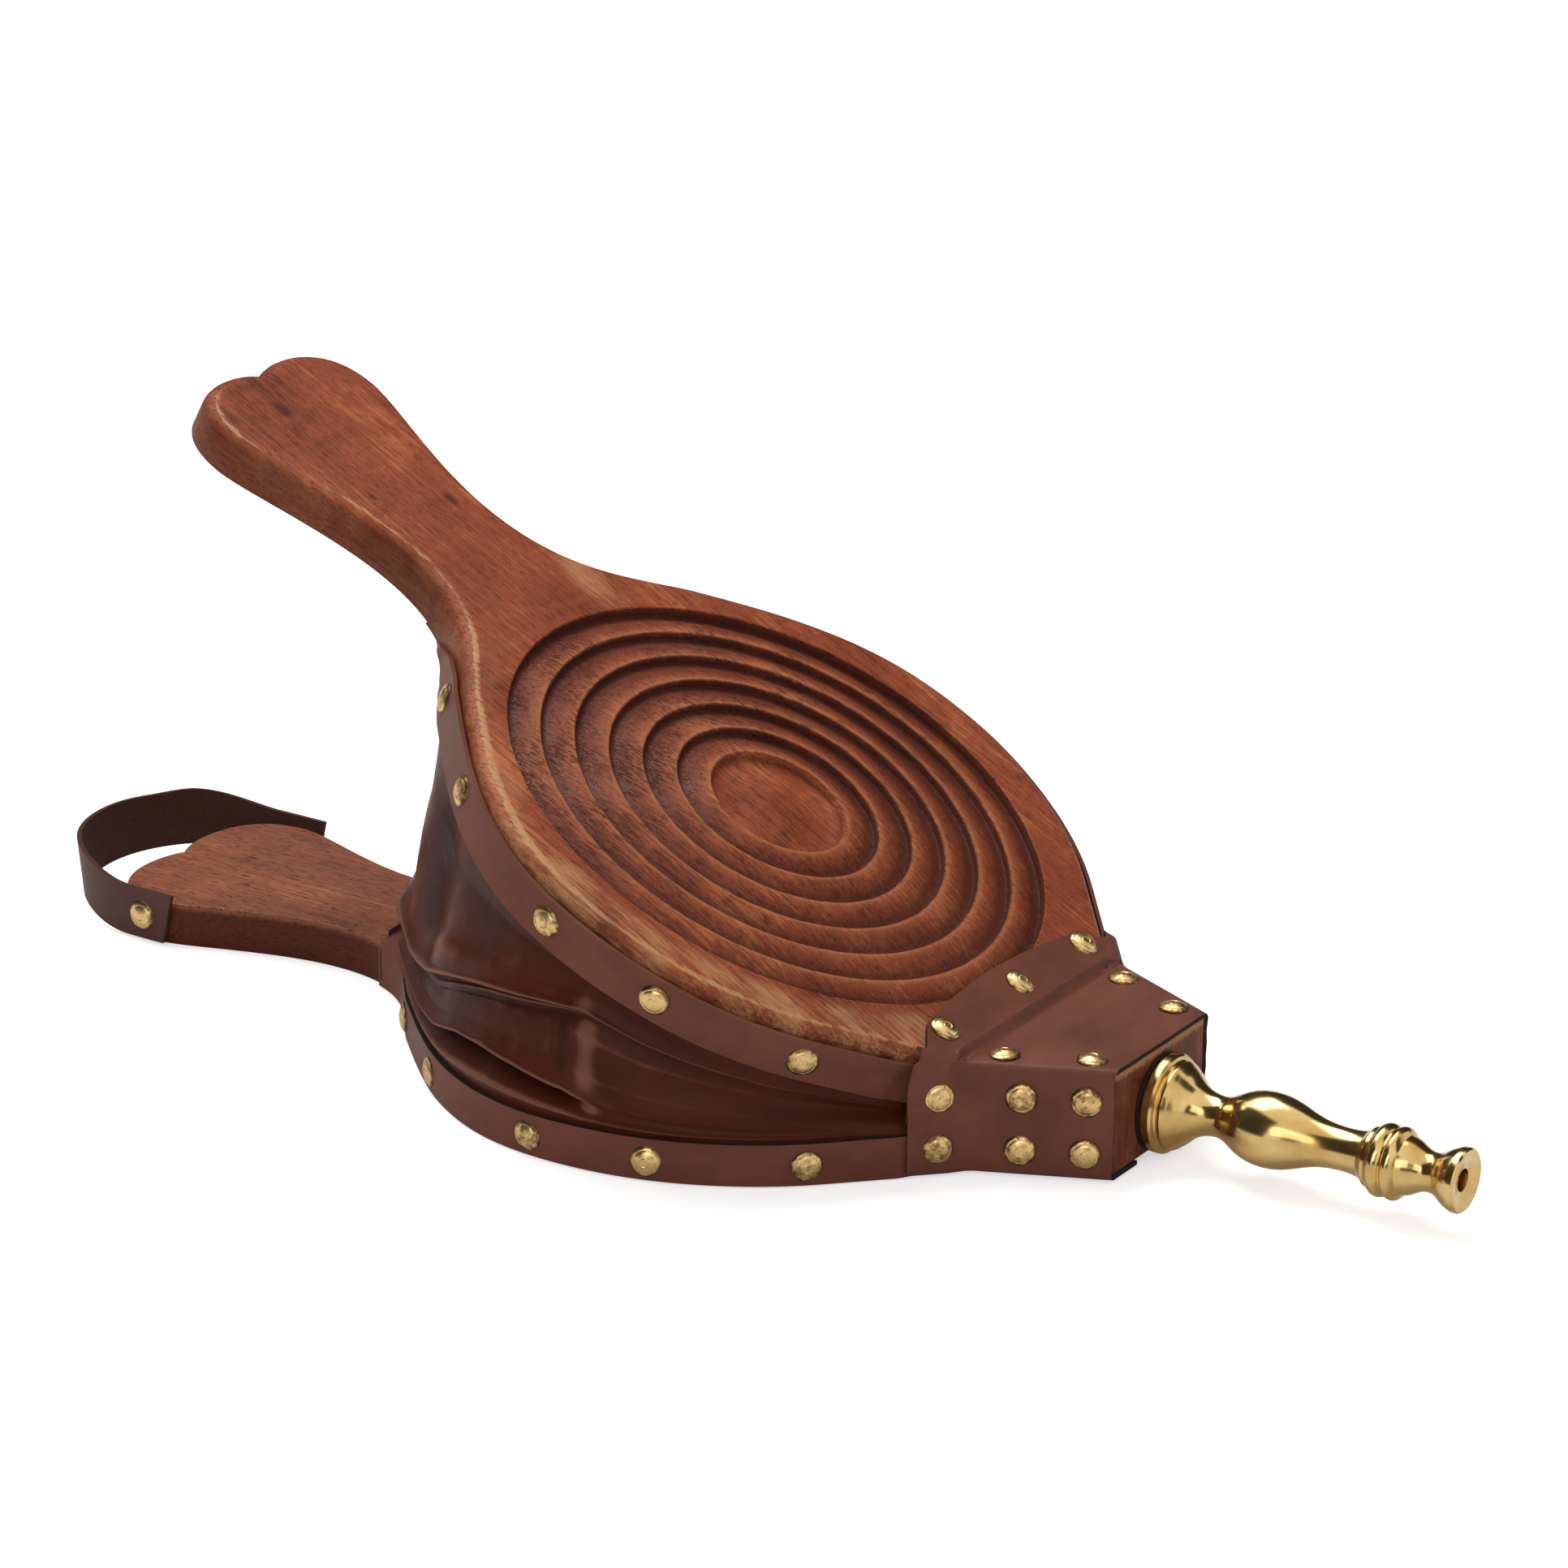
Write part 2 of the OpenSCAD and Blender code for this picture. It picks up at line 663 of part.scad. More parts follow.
hinge_tack_in = 11;
module at_hinge_tacks() {
    for (y = [-0.43, 0.045, 0.46] * nose_rear_w)
        translate([hinge_x - hinge_tack_in, y, hinge_z + seat_gap]) children();
}

module top_board() {
    color(wood)
    opened()
        difference() {
            translate([0, 0, under_z]) board_blank(hinge_x - block_front_gap);
            translate([0, 0, top_z]) rotate_extrude($fn = 96) polygon(carving);
            // The front end is bevelled and stepped to pass over the block's foot.
            translate([hinge_x - block_front_gap, 0, top_z])
                rotate([90, 0, 0])
                    linear_extrude(4 * body_r, center = true)
                        polygon([[0, 0], [-nose_foot_l, -nose_bevel_h],
                                 [-nose_foot_l, -board_t - over], [over, -board_t - over],
                                 [over, 0]]);
            both_sides() at_band_tacks(upper_tack_z) pilot();
            at_hinge_tacks() pilot(short_tack_l);
        }
}

module hinge_strip() {
    rear = [for (a = [0:15:60]) [strip_rear_x + 3.2 * (1 - cos(a * 1.2)),
                                 (0.5 * nose_rear_w + 3) * a / 90]];
    side = [[strip_rear_x + 10, tangent_sum - strip_rear_x - 11.2],
            [strip_front_x, tangent_sum - strip_front_x - 1.2]];
    outline = concat(rear, side);
    color(leather)
    opened()
        difference() {
            translate([0, 0, top_z + fit])
                linear_extrude(leather_t) polygon(closed_plan(outline));
            at_hinge_tacks() pilot(short_tack_l);
        }
}

module hinge_tacks() {
    color(brass) opened() at_hinge_tacks() tack(short_tack_l);
}

bottom_board();
nose_block();
block_screws();
nozzle();
nozzle_washer();
nose_wrap();
wrap_side_tacks_left();
wrap_side_tacks_right();
wrap_top_tacks();
wrap_bottom_tacks();
lower_band();
lower_band_tacks_left();
lower_band_tacks_right();
gusset();
valve_hem();
valve_tacks();
valve_flap();
strap_tacks();
hanging_strap();
top_board();
upper_band();
upper_band_tacks_left();
upper_band_tacks_right();
hinge_strip();
hinge_tacks();
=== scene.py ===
"""Hand bellows: finished wood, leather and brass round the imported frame."""
import json
import math
import random

import bpy
from bpy.props import FloatProperty, FloatVectorProperty, IntProperty, PointerProperty
from mathutils import Euler, Matrix, Vector, noise
from mathutils.kdtree import KDTree


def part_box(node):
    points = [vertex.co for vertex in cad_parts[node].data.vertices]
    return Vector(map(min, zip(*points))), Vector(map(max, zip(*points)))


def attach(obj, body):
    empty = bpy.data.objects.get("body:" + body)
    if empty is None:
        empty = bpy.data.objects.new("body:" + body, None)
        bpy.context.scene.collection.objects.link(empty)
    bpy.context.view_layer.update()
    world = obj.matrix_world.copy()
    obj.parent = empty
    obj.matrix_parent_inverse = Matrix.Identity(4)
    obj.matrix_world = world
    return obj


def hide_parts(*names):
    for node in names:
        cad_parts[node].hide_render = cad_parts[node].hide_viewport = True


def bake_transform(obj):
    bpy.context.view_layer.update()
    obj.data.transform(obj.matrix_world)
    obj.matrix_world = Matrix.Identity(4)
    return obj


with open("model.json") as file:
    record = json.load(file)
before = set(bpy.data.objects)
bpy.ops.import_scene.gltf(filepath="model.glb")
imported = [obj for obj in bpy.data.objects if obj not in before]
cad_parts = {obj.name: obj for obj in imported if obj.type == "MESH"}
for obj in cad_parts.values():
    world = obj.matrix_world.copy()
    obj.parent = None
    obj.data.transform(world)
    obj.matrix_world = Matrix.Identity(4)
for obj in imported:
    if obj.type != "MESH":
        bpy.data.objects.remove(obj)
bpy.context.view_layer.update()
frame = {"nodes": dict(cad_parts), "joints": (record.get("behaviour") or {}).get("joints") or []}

bl_info = {
    "name": "Hand Bellows",
    "version": (1, 0, 0),
    "blender": (4, 5, 0),
    "location": "3D View > Sidebar > Bellows",
    "description": "Builds the wood, leather and brass of a hand bellows round its frame",
    "category": "Object",
}

# ---- Places taken from the frame, in millimetres ----

MM = 0.001
JOINTS = {joint["name"]: joint for joint in frame["joints"]}
HINGE = Vector(JOINTS["board_hinge"]["pos_m"]) / MM


def corners(node):
    """Lowest and highest corner of a frame node, in millimetres."""
    low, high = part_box(node)
    return low / MM, high / MM


BOARD_HIGH = corners("bottom_board")[1]
BLOCK_LOW, BLOCK_HIGH = corners("nose_block")
NOZZLE_LOW, NOZZLE_HIGH = corners("nozzle")
STRAP_LOW = corners("hanging_strap")[0]
BODY_R = BOARD_HIGH.y
BOARD_T = BOARD_HIGH.z
FRONT_X = BLOCK_HIGH.x
BLOCK_TOP = BLOCK_HIGH.z
BLOCK_BASE = BLOCK_LOW.z
FOOT_X = BLOCK_LOW.x
UPPER_TOP = BLOCK_TOP                 # face of the upper board when it lies shut
UPPER_BASE = UPPER_TOP - BOARD_T
NOZZLE_Z = (NOZZLE_LOW.z + NOZZLE_HIGH.z) / 2
TANGENT_SUM = BODY_R * math.sqrt(2)   # x + y along the 45 degree edges of the nose
NOSE_HALF = TANGENT_SUM - HINGE.x     # half width of the nose at the hinge
NECK_X = -BODY_R - 33                 # where the handles are narrowest
WRAP_REAR_X = FOOT_X - 0.3            # the wrap's rear edge
BAND_END_X = WRAP_REAR_X - 0.2        # where the lower band ends, just behind the wrap


def tone(code):
    """sRGB hex as linear red, green and blue."""
    channels = [int(code[i:i + 2], 16) / 255 for i in (1, 3, 5)]
    return tuple(c / 12.92 if c <= 0.04045 else ((c + 0.055) / 1.055) ** 2.4 for c in channels)


# ---- Sizes and colours that a user would change ----

def length(name, text, millimetres):
    """A size that a user would change, given in millimetres."""
    return FloatProperty(name=name, description=text, default=millimetres * MM, min=0,
                         subtype="DISTANCE", unit="LENGTH", precision=4)


def colour(name, text, code):
    """A colour that a user would change, given as sRGB hex."""
    return FloatVectorProperty(name=name, description=text, default=tone(code), size=3,
                               min=0, max=1, subtype="COLOR")


class BellowsSizes(bpy.types.PropertyGroup):
    rest_open: FloatProperty(name="Opening", description="Angle at which the upper board stands open",
                             default=math.radians(27.4), subtype="ANGLE", unit="ROTATION")
    handle_length: length("Handle length", "From the centre of the body to the handles' end", 221.5)
    waist_width: length("Waist width", "Width of the handles at their narrowest", 48)
    lobe_width: length("Lobe width", "Width of the handles at their lobes", 78)
    notch_depth: length("Notch depth", "Depth of the notch between the lobes", 3)
    upper_round: length("Upper round-over", "Worn rounding of the upper board's top edge", 4.6)
    lower_round: length("Lower round-over", "Rounding of the bottom board's edges", 0.7)
    ring_radius: length("Carving radius", "Radius of the outermost carved step", 88)
    ring_pitch: length("Ring pitch", "Distance from one carved step to the next", 11)
    ring_count: IntProperty(name="Rings", description="Carved rings round the dish", default=6, min=1)
    carve_depth: length("Carving depth", "Depth of the carving below the face", 3.2)
    leather: length("Leather thickness", "Thickness of the bands, wrap and hinge strip", 1.4)
    gusset: length("Gusset thickness", "Thickness of the gusset's leather", 1.0)
    fold_depth: length("Fold depth", "How far the gusset's folds draw in", 8.5)
    tack_head: length("Tack head radius", "Radius of the domed tack heads", 4.75)
    strap_width: length("Strap width", "Width of the hanging strap", 16.6)
    strap_thickness: length("Strap thickness", "Thickness of the hanging strap", 1.5)
    bore: length("Outlet radius", "Radius of the nozzle's bore", 3.25)


class BellowsColours(bpy.types.PropertyGroup):
    wood: colour("Wood", "Main tone of the stained wood", "#92472B")
    wood_dark: colour("Wood, dark", "Dark figure of the stained wood", "#5A2616")
    wood_light: colour("Wood, light", "Pale figure of the stained wood", "#B4683F")
    wood_pore: colour("Wood, pores", "Stain lying in the pores and knots", "#35160E")
    wood_worn: colour("Wood, worn", "Edges where the stain is rubbed off", "#C08C60")
    leather: colour("Leather", "Pigmented face of the bands and wrap", "#6E3F32")
    gusset: colour("Gusset leather", "Softer, darker leather between the boards", "#4B1F14")
    strap: colour("Strap leather", "Face of the hanging strap", "#553730")
    flesh: colour("Leather, raw", "Black-dyed flesh side and cut edges", "#1A1412")
    brass: colour("Polished brass", "Turned and polished nozzle", "#E6C788")
    tack: colour("Aged brass", "Domed heads of the tacks", "#EBC585")
    tarnish: colour("Tarnish", "Brown oxide on the tacks", "#6E4A28")
    steel: colour("Steel", "Plated wood screws", "#A7A59F")


def mm(name):
    """A size of the bellows, in millimetres."""
    return getattr(bpy.context.scene.bellows_sizes, name) / MM


def shade(name):
    """A colour of the bellows, with full alpha."""
    return (*getattr(bpy.context.scene.bellows_colours, name), 1)


# ---- Modelling helpers ----

def clear_selection():
    for item in bpy.context.selected_objects:
        item.select_set(False)


def adopt(name):
    """Names the object that was just added, and gives it."""
    piece = bpy.context.object
    piece.name = piece.data.name = name
    return piece


def activate(piece):
    clear_selection()
    piece.select_set(True)
    bpy.context.view_layer.objects.active = piece


def edit(piece, kind="FACE", test=None):
    """Enters edit mode with the edges or faces that pass the test selected, or with everything."""
    activate(piece)
    mesh = piece.data
    every = test is None
    for parts in (mesh.vertices, mesh.edges, mesh.polygons):
        parts.foreach_set("select", [every] * len(parts))
    if not every:
        for item in (mesh.edges if kind == "EDGE" else mesh.polygons):
            if test(item):
                item.select = True
                for i in item.vertices:
                    mesh.vertices[i].select = True
    bpy.context.tool_settings.mesh_select_mode = (False, kind == "EDGE", kind == "FACE")
    bpy.ops.object.mode_set(mode="EDIT")


def leave():
    bpy.ops.object.mode_set(mode="OBJECT")


def tidy_mesh(piece, smooth_angle):
    """Merges doubles, points the faces outwards and smooths up to an angle in degrees."""
    edit(piece)
    bpy.ops.mesh.remove_doubles(threshold=0.5e-6)
    bpy.ops.mesh.delete_loose()
    leave()
    edit(piece)
    bpy.ops.mesh.normals_make_consistent(inside=False)
    leave()
    smooth(piece, smooth_angle)


def smooth(piece, degrees):
    activate(piece)
    bpy.ops.object.shade_smooth_by_angle(angle=math.radians(degrees))


def apply_modifier(piece, kind, **settings):
    activate(piece)
    modifier = piece.modifiers.new(kind.title(), kind)
    for key, value in settings.items():
        setattr(modifier, key, value)
    bpy.ops.object.modifier_apply(modifier=modifier.name)


def cut(piece, cutter):
    """Cuts one mesh out of another and removes the cutter."""
    apply_modifier(piece, "BOOLEAN", object=cutter, operation="DIFFERENCE", solver="EXACT")
    bpy.data.objects.remove(cutter)
    if not piece.data.polygons:
        raise RuntimeError(f"{piece.name}: the cut left nothing")


def join(name, parts):
    """One object out of several, under a name."""
    clear_selection()
    for part in parts:
        part.select_set(True)
    bpy.context.view_layer.objects.active = parts[0]
    bpy.ops.object.join()
    return adopt(name)


def lathe(name, profile, steps, smooth_angle=40):
    """Solid turned round Z from a closed profile of (height, radius), in millimetres."""
    clear_selection()
    bpy.ops.mesh.primitive_circle_add(vertices=len(profile), fill_type="NOTHING")
    piece = adopt(name)
    for vertex, (height, radius) in zip(piece.data.vertices, profile):
        vertex.co = (radius * MM, 0, height * MM)
    edit(piece, "EDGE")
    bpy.ops.mesh.spin(steps=steps, angle=math.tau, center=(0, 0, 0), axis=(0, 0, 1))
    leave()
    tidy_mesh(piece, smooth_angle)
    return piece


def prism(name, outline, low, high):
    """Upright solid over a closed outline, in millimetres."""
    clear_selection()
    bpy.ops.mesh.primitive_circle_add(vertices=len(outline), fill_type="NGON")
    piece = adopt(name)
    for vertex, point in zip(piece.data.vertices, outline):
        vertex.co = (point[0] * MM, point[1] * MM, low * MM)
    edit(piece)
    bpy.ops.mesh.extrude_region_move(TRANSFORM_OT_translate={"value": (0, 0, (high - low) * MM)})
    leave()
    edit(piece)
    bpy.ops.mesh.normals_make_consistent(inside=False)
    leave()
    return piece


def sheet_grid(name, columns, rows, place, size):
    """A grid whose vertices are laid by place(u, v) in millimetres, with its UV map in metres.

    u runs 0 to 1 along the columns and v along the rows; size is the sheet's rough
    length and width in millimetres.
    """
    clear_selection()
    bpy.ops.mesh.primitive_grid_add(x_subdivisions=columns, y_subdivisions=rows, size=1)
    piece = adopt(name)
    spots = [(v.co.x + 0.5, v.co.y + 0.5) for v in piece.data.vertices]
    for vertex, (u, v) in zip(piece.data.vertices, spots):
        vertex.co = Vector(place(u, v)) * MM
    uv = piece.data.uv_layers.active
    for loop in piece.data.loops:
        u, v = spots[loop.vertex_index]
        uv.data[loop.index].uv = (u * size[0] * MM, v * size[1] * MM)
    return piece


def set_attribute(piece, name, values):
    attribute = piece.data.attributes.get(name) or piece.data.attributes.new(name, "FLOAT", "POINT")
    attribute.data.foreach_set("value", values)


def thicken(piece, thickness, turned=False):
    """Gives a sheet its thickness behind its face; back and cut edge take material slot 2.

    A sheet that was laid with its face inwards is turned first.
    """
    if turned:
        edit(piece)
        bpy.ops.mesh.flip_normals()
        leave()
    piece.data.materials.append(None)
    piece.data.materials.append(None)
    apply_modifier(piece, "SOLIDIFY", thickness=thickness * MM, offset=-1, use_even_offset=False,
                   material_offset=1, material_offset_rim=1)


def plain_rim(piece, test):
    """Gives the cut edge the face's own material where all its UV places pass the test."""
    uv = piece.data.uv_layers.active.data
    for face in piece.data.polygons:
        if all(test(uv[i].uv) for i in face.loop_indices):
            face.material_index = 0


def finish(piece, body, material, replaces, back=None):
    """Materials, the CAD nodes the piece stands for, and the body it rides on."""
    if back is None:
        piece.data.materials.clear()
        piece.data.materials.append(material)
    else:
        piece.data.materials[0] = material
        piece.data.materials[1] = back
    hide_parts(*replaces)
    if body:
        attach(piece, body)


def mix(a, b, t):
    return a + (b - a) * t


def ramp(x, x0, x1):
    """0 before x0, 1 after x1, eased between."""
    t = min(1, max(0, (x - x0) / (x1 - x0)))
    return t * t * (3 - 2 * t)


def along_line(x, line):
    """Value at x on a line of (x, value) points, rising in x."""
    if x <= line[0][0]:
        return line[0][1]
    for (x0, v0), (x1, v1) in zip(line, line[1:]):
        if x <= x1:
            return mix(v0, v1, (x - x0) / (x1 - x0))
    return line[-1][1]


def bump(x, centre, width):
    """Smooth bump of height 1 round a centre."""
    return math.exp(-((x - centre) / width) ** 2)


def opened(point):
    """A point drawn with the upper board shut, swung to where the board stands open."""
    return swing(point, bpy.context.scene.bellows_sizes.rest_open)


def swing(point, angle):
    """A point turned about the hinge; a positive angle lifts the handle's end."""
    dx, dz = point[0] - HINGE.x, point[2] - HINGE.z
    return Vector((HINGE.x + dx * math.cos(angle) + dz * math.sin(angle), point[1],
                   HINGE.z - dx * math.sin(angle) + dz * math.cos(angle)))


def open_mesh(piece):
    """Swings a whole mesh that was modelled shut."""
    turn = Matrix.Rotation(bpy.context.scene.bellows_sizes.rest_open, 4, "Y")
    piece.data.transform(Matrix.Translation(HINGE * MM) @ turn @ Matrix.Translation(-HINGE * MM))


# ---- The boards' outline ----

def bezier(a, b, c, d, count):
    """Points along a curve from a to d, its end left out, bent towards b and c."""
    a, b, c, d = (Vector(p) for p in (a, b, c, d))
    steps = [i / count for i in range(count)]
    return [a * (1 - t) ** 3 + b * 3 * t * (1 - t) ** 2 + c * 3 * t * t * (1 - t) + d * t ** 3
            for t in steps]


def handle_side(slim=0.0):
    """Half outline from the notch at the handle's end to the neck's narrowest point."""
    end, lobe, waist = -mm("handle_length"), mm("lobe_width") / 2 - slim, mm("waist_width") / 2
    top = Vector((end + 22.5, lobe))
    narrow = Vector((NECK_X, waist))
    notch = (end + mm("notch_depth"), 0)
    return (bezier(notch, (end - 2.5, 0.23 * lobe), (end - 3.5, lobe), top, 26)
            + bezier(top, top + Vector((11, 0)), narrow - Vector((24, 0)), narrow, 22))


def body_side(end_x):
    """Half outline from the narrowest point of the neck to the hinge end at end_x."""
    narrow = Vector((NECK_X, mm("waist_width") / 2))
    shoulder = Vector((-0.8 * BODY_R, 0.543 * BODY_R))
    crown = Vector((0, BODY_R))
    points = (bezier(narrow, narrow + Vector((30, 0)), shoulder - Vector((13, 15)), shoulder, 24)
              + bezier(shoulder, shoulder + Vector((24, 24)), crown - Vector((38, 0)), crown, 32))
    points += [BODY_R * Vector((math.cos(math.radians(a / 2)), math.sin(math.radians(a / 2))))
               for a in range(180, 90, -3)]
    start = BODY_R / math.sqrt(2)
    count = 8
    points += [Vector((x, TANGENT_SUM - x))
               for x in (mix(start, end_x, i / count) for i in range(count + 1))]
    return points


def board_outline(end_x, slim=0.0):
    """Closed outline of a board, its lobes narrower by slim on each side."""
    half = handle_side(slim) + body_side(end_x)
    return half + [Vector((p.x, -p.y)) for p in reversed(half) if p.y > 0.01]


def stations(x0, x1, step=2.5):
    """Points and outward normals along the far side's edge, from x0 to x1, evenly spaced."""
    line = body_side(HINGE.x + 2)
    run = []
    for a, b in zip(line, line[1:]):
        for i in range(6):
            run.append(a.lerp(b, i / 6))
    run = [p for p in run if x0 <= p.x <= x1]
    total = sum((b - a).length for a, b in zip(run, run[1:]))
    count = max(2, round(total / step))
    spots, walked, goal = [], 0, 0
    for i in range(len(run) - 1):
        stretch = (run[i + 1] - run[i]).length
        while goal <= walked + stretch + 1e-9 and len(spots) <= count:
            t = (goal - walked) / stretch
            spots.append(run[i].lerp(run[i + 1], t))
            goal += total / count
        walked += stretch
    while len(spots) <= count:
        spots.append(run[-1])
    made = []
    for i, p in enumerate(spots):
        a, b = spots[max(0, i - 1)], spots[min(len(spots) - 1, i + 1)]
        t = (b - a).normalized()
        made.append((p, Vector((-t.y, t.x))))
    return made


# ---- Boards ----

PAST_FACE = 1.5     # how far a cutter runs past a face, in millimetres
UPPER_END_X = HINGE.x - 0.8   # where the upper board's nose ends, just behind the hinge
LOBE_SLIM = 2.0     # the upper handle's lobes are slimmer than the lower's by this on each side
SMOOTH_BELOW = 32   # edges of the wood sharper than this many degrees stay crisp


def carving_profile():
    """Closed section of what is carved out of the upper face: stepped rings round a dish."""
    radius, pitch, depth = mm("ring_radius"), mm("ring_pitch"), mm("carve_depth")
    count = bpy.context.scene.bellows_sizes.ring_count
    dish = radius - count * pitch
    crest = 0.75
    section = [(-0.62 * depth, 0), (-0.66 * depth, 0.2 * dish), (-0.8 * depth, 0.42 * dish),
               (-1.0 * depth, 0.62 * dish), (-1.1 * depth, 0.78 * dish), (-1.08 * depth, 0.9 * dish),
               (-0.96 * depth, dish - 0.7), (-crest - 0.35, dish - 0.1), (-crest, dish + 0.3)]
    for i in range(count, 0, -1):
        inner, outer = radius - i * pitch, radius - (i - 1) * pitch
        swell = bezier((inner + 0.08 * pitch, -crest), (inner + 0.22 * pitch, -crest - 0.05),
                       (outer - 0.62 * pitch, -0.5 * depth), (outer - 0.4 * pitch, -0.66 * depth), 6)
        swell += bezier((outer - 0.4 * pitch, -0.66 * depth), (outer - 0.3 * pitch, -0.78 * depth),
                        (outer - 0.24 * pitch, -depth), (outer - 0.14 * pitch, -depth), 4)
        section += [(z, r) for r, z in swell]
        edge = 0 if i == 1 else crest
        section += [(-depth, outer - 0.1 * pitch), (-0.93 * depth, outer - 0.5),
                    (-edge - 0.4, outer - 0.12), (-edge, outer + 0.3)]
    return section + [(PAST_FACE, radius + 0.45), (PAST_FACE, 0)]


def rim_edge(mesh, z):
    """Test for the edges that lie in the level z."""
    level = z * MM

    def test(edge):
        return all(abs(mesh.vertices[i].co.z - level) < 1e-6 for i in edge.vertices)
    return test


def round_rim(piece, z, radius, segments):
    """Rounds the edges that lie in the level z."""
    edit(piece, "EDGE", rim_edge(piece.data, z))
    bpy.ops.mesh.bevel(offset=radius * MM, segments=segments, profile=0.5, clamp_overlap=False)
    leave()


def inset_cap(piece, upward, steps):
    """Rings of faces inside the flat cap, so that the rim's shading and wear stay by the rim."""
    for step in steps:
        sign = 1 if upward else -1
        big = max((f for f in piece.data.polygons if f.normal.z * sign > 0.99), key=lambda f: f.area)
        index = big.index
        edit(piece, "FACE", lambda f: f.index == index)
        bpy.ops.mesh.inset(thickness=step * MM, depth=0)
        leave()


def mark_wear(piece, outline):
    """Stores where the stain is rubbed: a line along the arris."""
    dense = [a.lerp(b, i / 4) for a, b in zip(outline, outline[1:] + outline[:1]) for i in range(4)]
    tree = KDTree(len(dense))
    for i, p in enumerate(dense):
        tree.insert((p.x, p.y, 0), i)
    tree.balance()
    values = []
    for vertex in piece.data.vertices:
        spot = vertex.co / MM
        inside = tree.find((spot.x, spot.y, 0))[2]
        values.append(bump(inside, 3.7, 1.3))
    set_attribute(piece, "wear", values)


def build_upper_board():
    outline = board_outline(UPPER_END_X, LOBE_SLIM)
    piece = prism("upper_board", outline, UPPER_BASE, UPPER_TOP)
    round_rim(piece, UPPER_TOP, mm("upper_round"), 6)
    round_rim(piece, UPPER_BASE, 1.0, 2)
    inset_cap(piece, True, (0.4, 1.0, 1.2, 1.4, 1.6))
    inset_cap(piece, False, (0.4,))
    carving = lathe("carving", carving_profile(), 180)
    for vertex in carving.data.vertices:
        spot = vertex.co / MM
        if spot.z < 0.2:
            reach = Vector((spot.x, spot.y, 0))
            wobble = 0.16 * noise.noise(spot * 0.11) + 0.07 * noise.noise(spot * 0.55)
            chip = 0.10 * noise.noise(Vector((spot.x * 0.3, spot.y * 1.2, 3)))
            spot += reach.normalized() * wobble if reach.length > 1 else Vector()
            spot.z = min(0.1, spot.z + chip)
        vertex.co = (spot + Vector((0, 0, UPPER_TOP))) * MM
    cut(piece, carving)
    # The nose is cut away below a slope, so that it clears the block when the board shuts.
    rear = UPPER_END_X - (HINGE.x - FOOT_X)
    ahead, below = UPPER_END_X + 4, UPPER_BASE - 1
    step = prism("step", [(UPPER_END_X, UPPER_TOP - 0.3), (rear, UPPER_TOP - 8.3), (rear, below),
                          (ahead, below), (ahead, UPPER_TOP - 0.3)], 2 * BODY_R, -2 * BODY_R)
    step.data.transform(Matrix.Rotation(math.radians(90), 4, "X"))
    cut(piece, step)
    mark_wear(piece, outline)
    smooth(piece, SMOOTH_BELOW)
    open_mesh(piece)
    finish(piece, "upper_board", stained_wood("upper", True), ["top_board"])


def build_bottom_board():
    outline = board_outline(HINGE.x)
    piece = prism("lower_board", outline, 0, BOARD_T)
    round_rim(piece, BOARD_T, mm("lower_round"), 2)
    round_rim(piece, 0, mm("lower_round"), 2)
    inset_cap(piece, True, (0.4, 1.6, 3))
    inset_cap(piece, False, (0.4, 1.6, 3))
    # The tongue runs on under the block, which is screwed to it.
    rear, front, half = HINGE.x - 2, HINGE.x + 21, 22
    tongue = prism("tongue", [(rear, -half), (front, -half), (front, half), (rear, half)],
                   BLOCK_BASE, 8)
    apply_modifier(piece, "BOOLEAN", object=tongue, operation="UNION", solver="EXACT")
    bpy.data.objects.remove(tongue)
    hole = lathe("hole", [(-1, 0), (-1, 15), (0, 14.6), (0.6, 14), (13.4, 14), (14, 14.6),
                          (15, 15.6), (15, 0)], 64)
    cut(piece, hole)
    # The air channel dips into the board's face at the block's foot.
    scoop = lathe("scoop", [(-13, 0), (-13, 4), (12, 4), (12, 0)], 32)
    scoop.data.transform(Matrix.Translation(Vector((FOOT_X, 0, NOZZLE_Z)) * MM)
                         @ Matrix.Rotation(math.radians(90), 4, "Y"))
    cut(piece, scoop)
    mark_wear(piece, outline)
    smooth(piece, SMOOTH_BELOW)
    finish(piece, "base", stained_wood("bottom", False), ["bottom_board"])


def copy_of(node, name):
    """A new piece from a frame node's mesh, with its triangles merged into flat faces."""
    clear_selection()
    piece = bpy.data.objects.new(name, frame["nodes"][node].data.copy())
    bpy.context.scene.collection.objects.link(piece)
    piece.data.name = name
    edit(piece)
    bpy.ops.mesh.remove_doubles(threshold=1e-6)
    bpy.ops.mesh.dissolve_limited(angle_limit=math.radians(1))
    leave()
    return piece


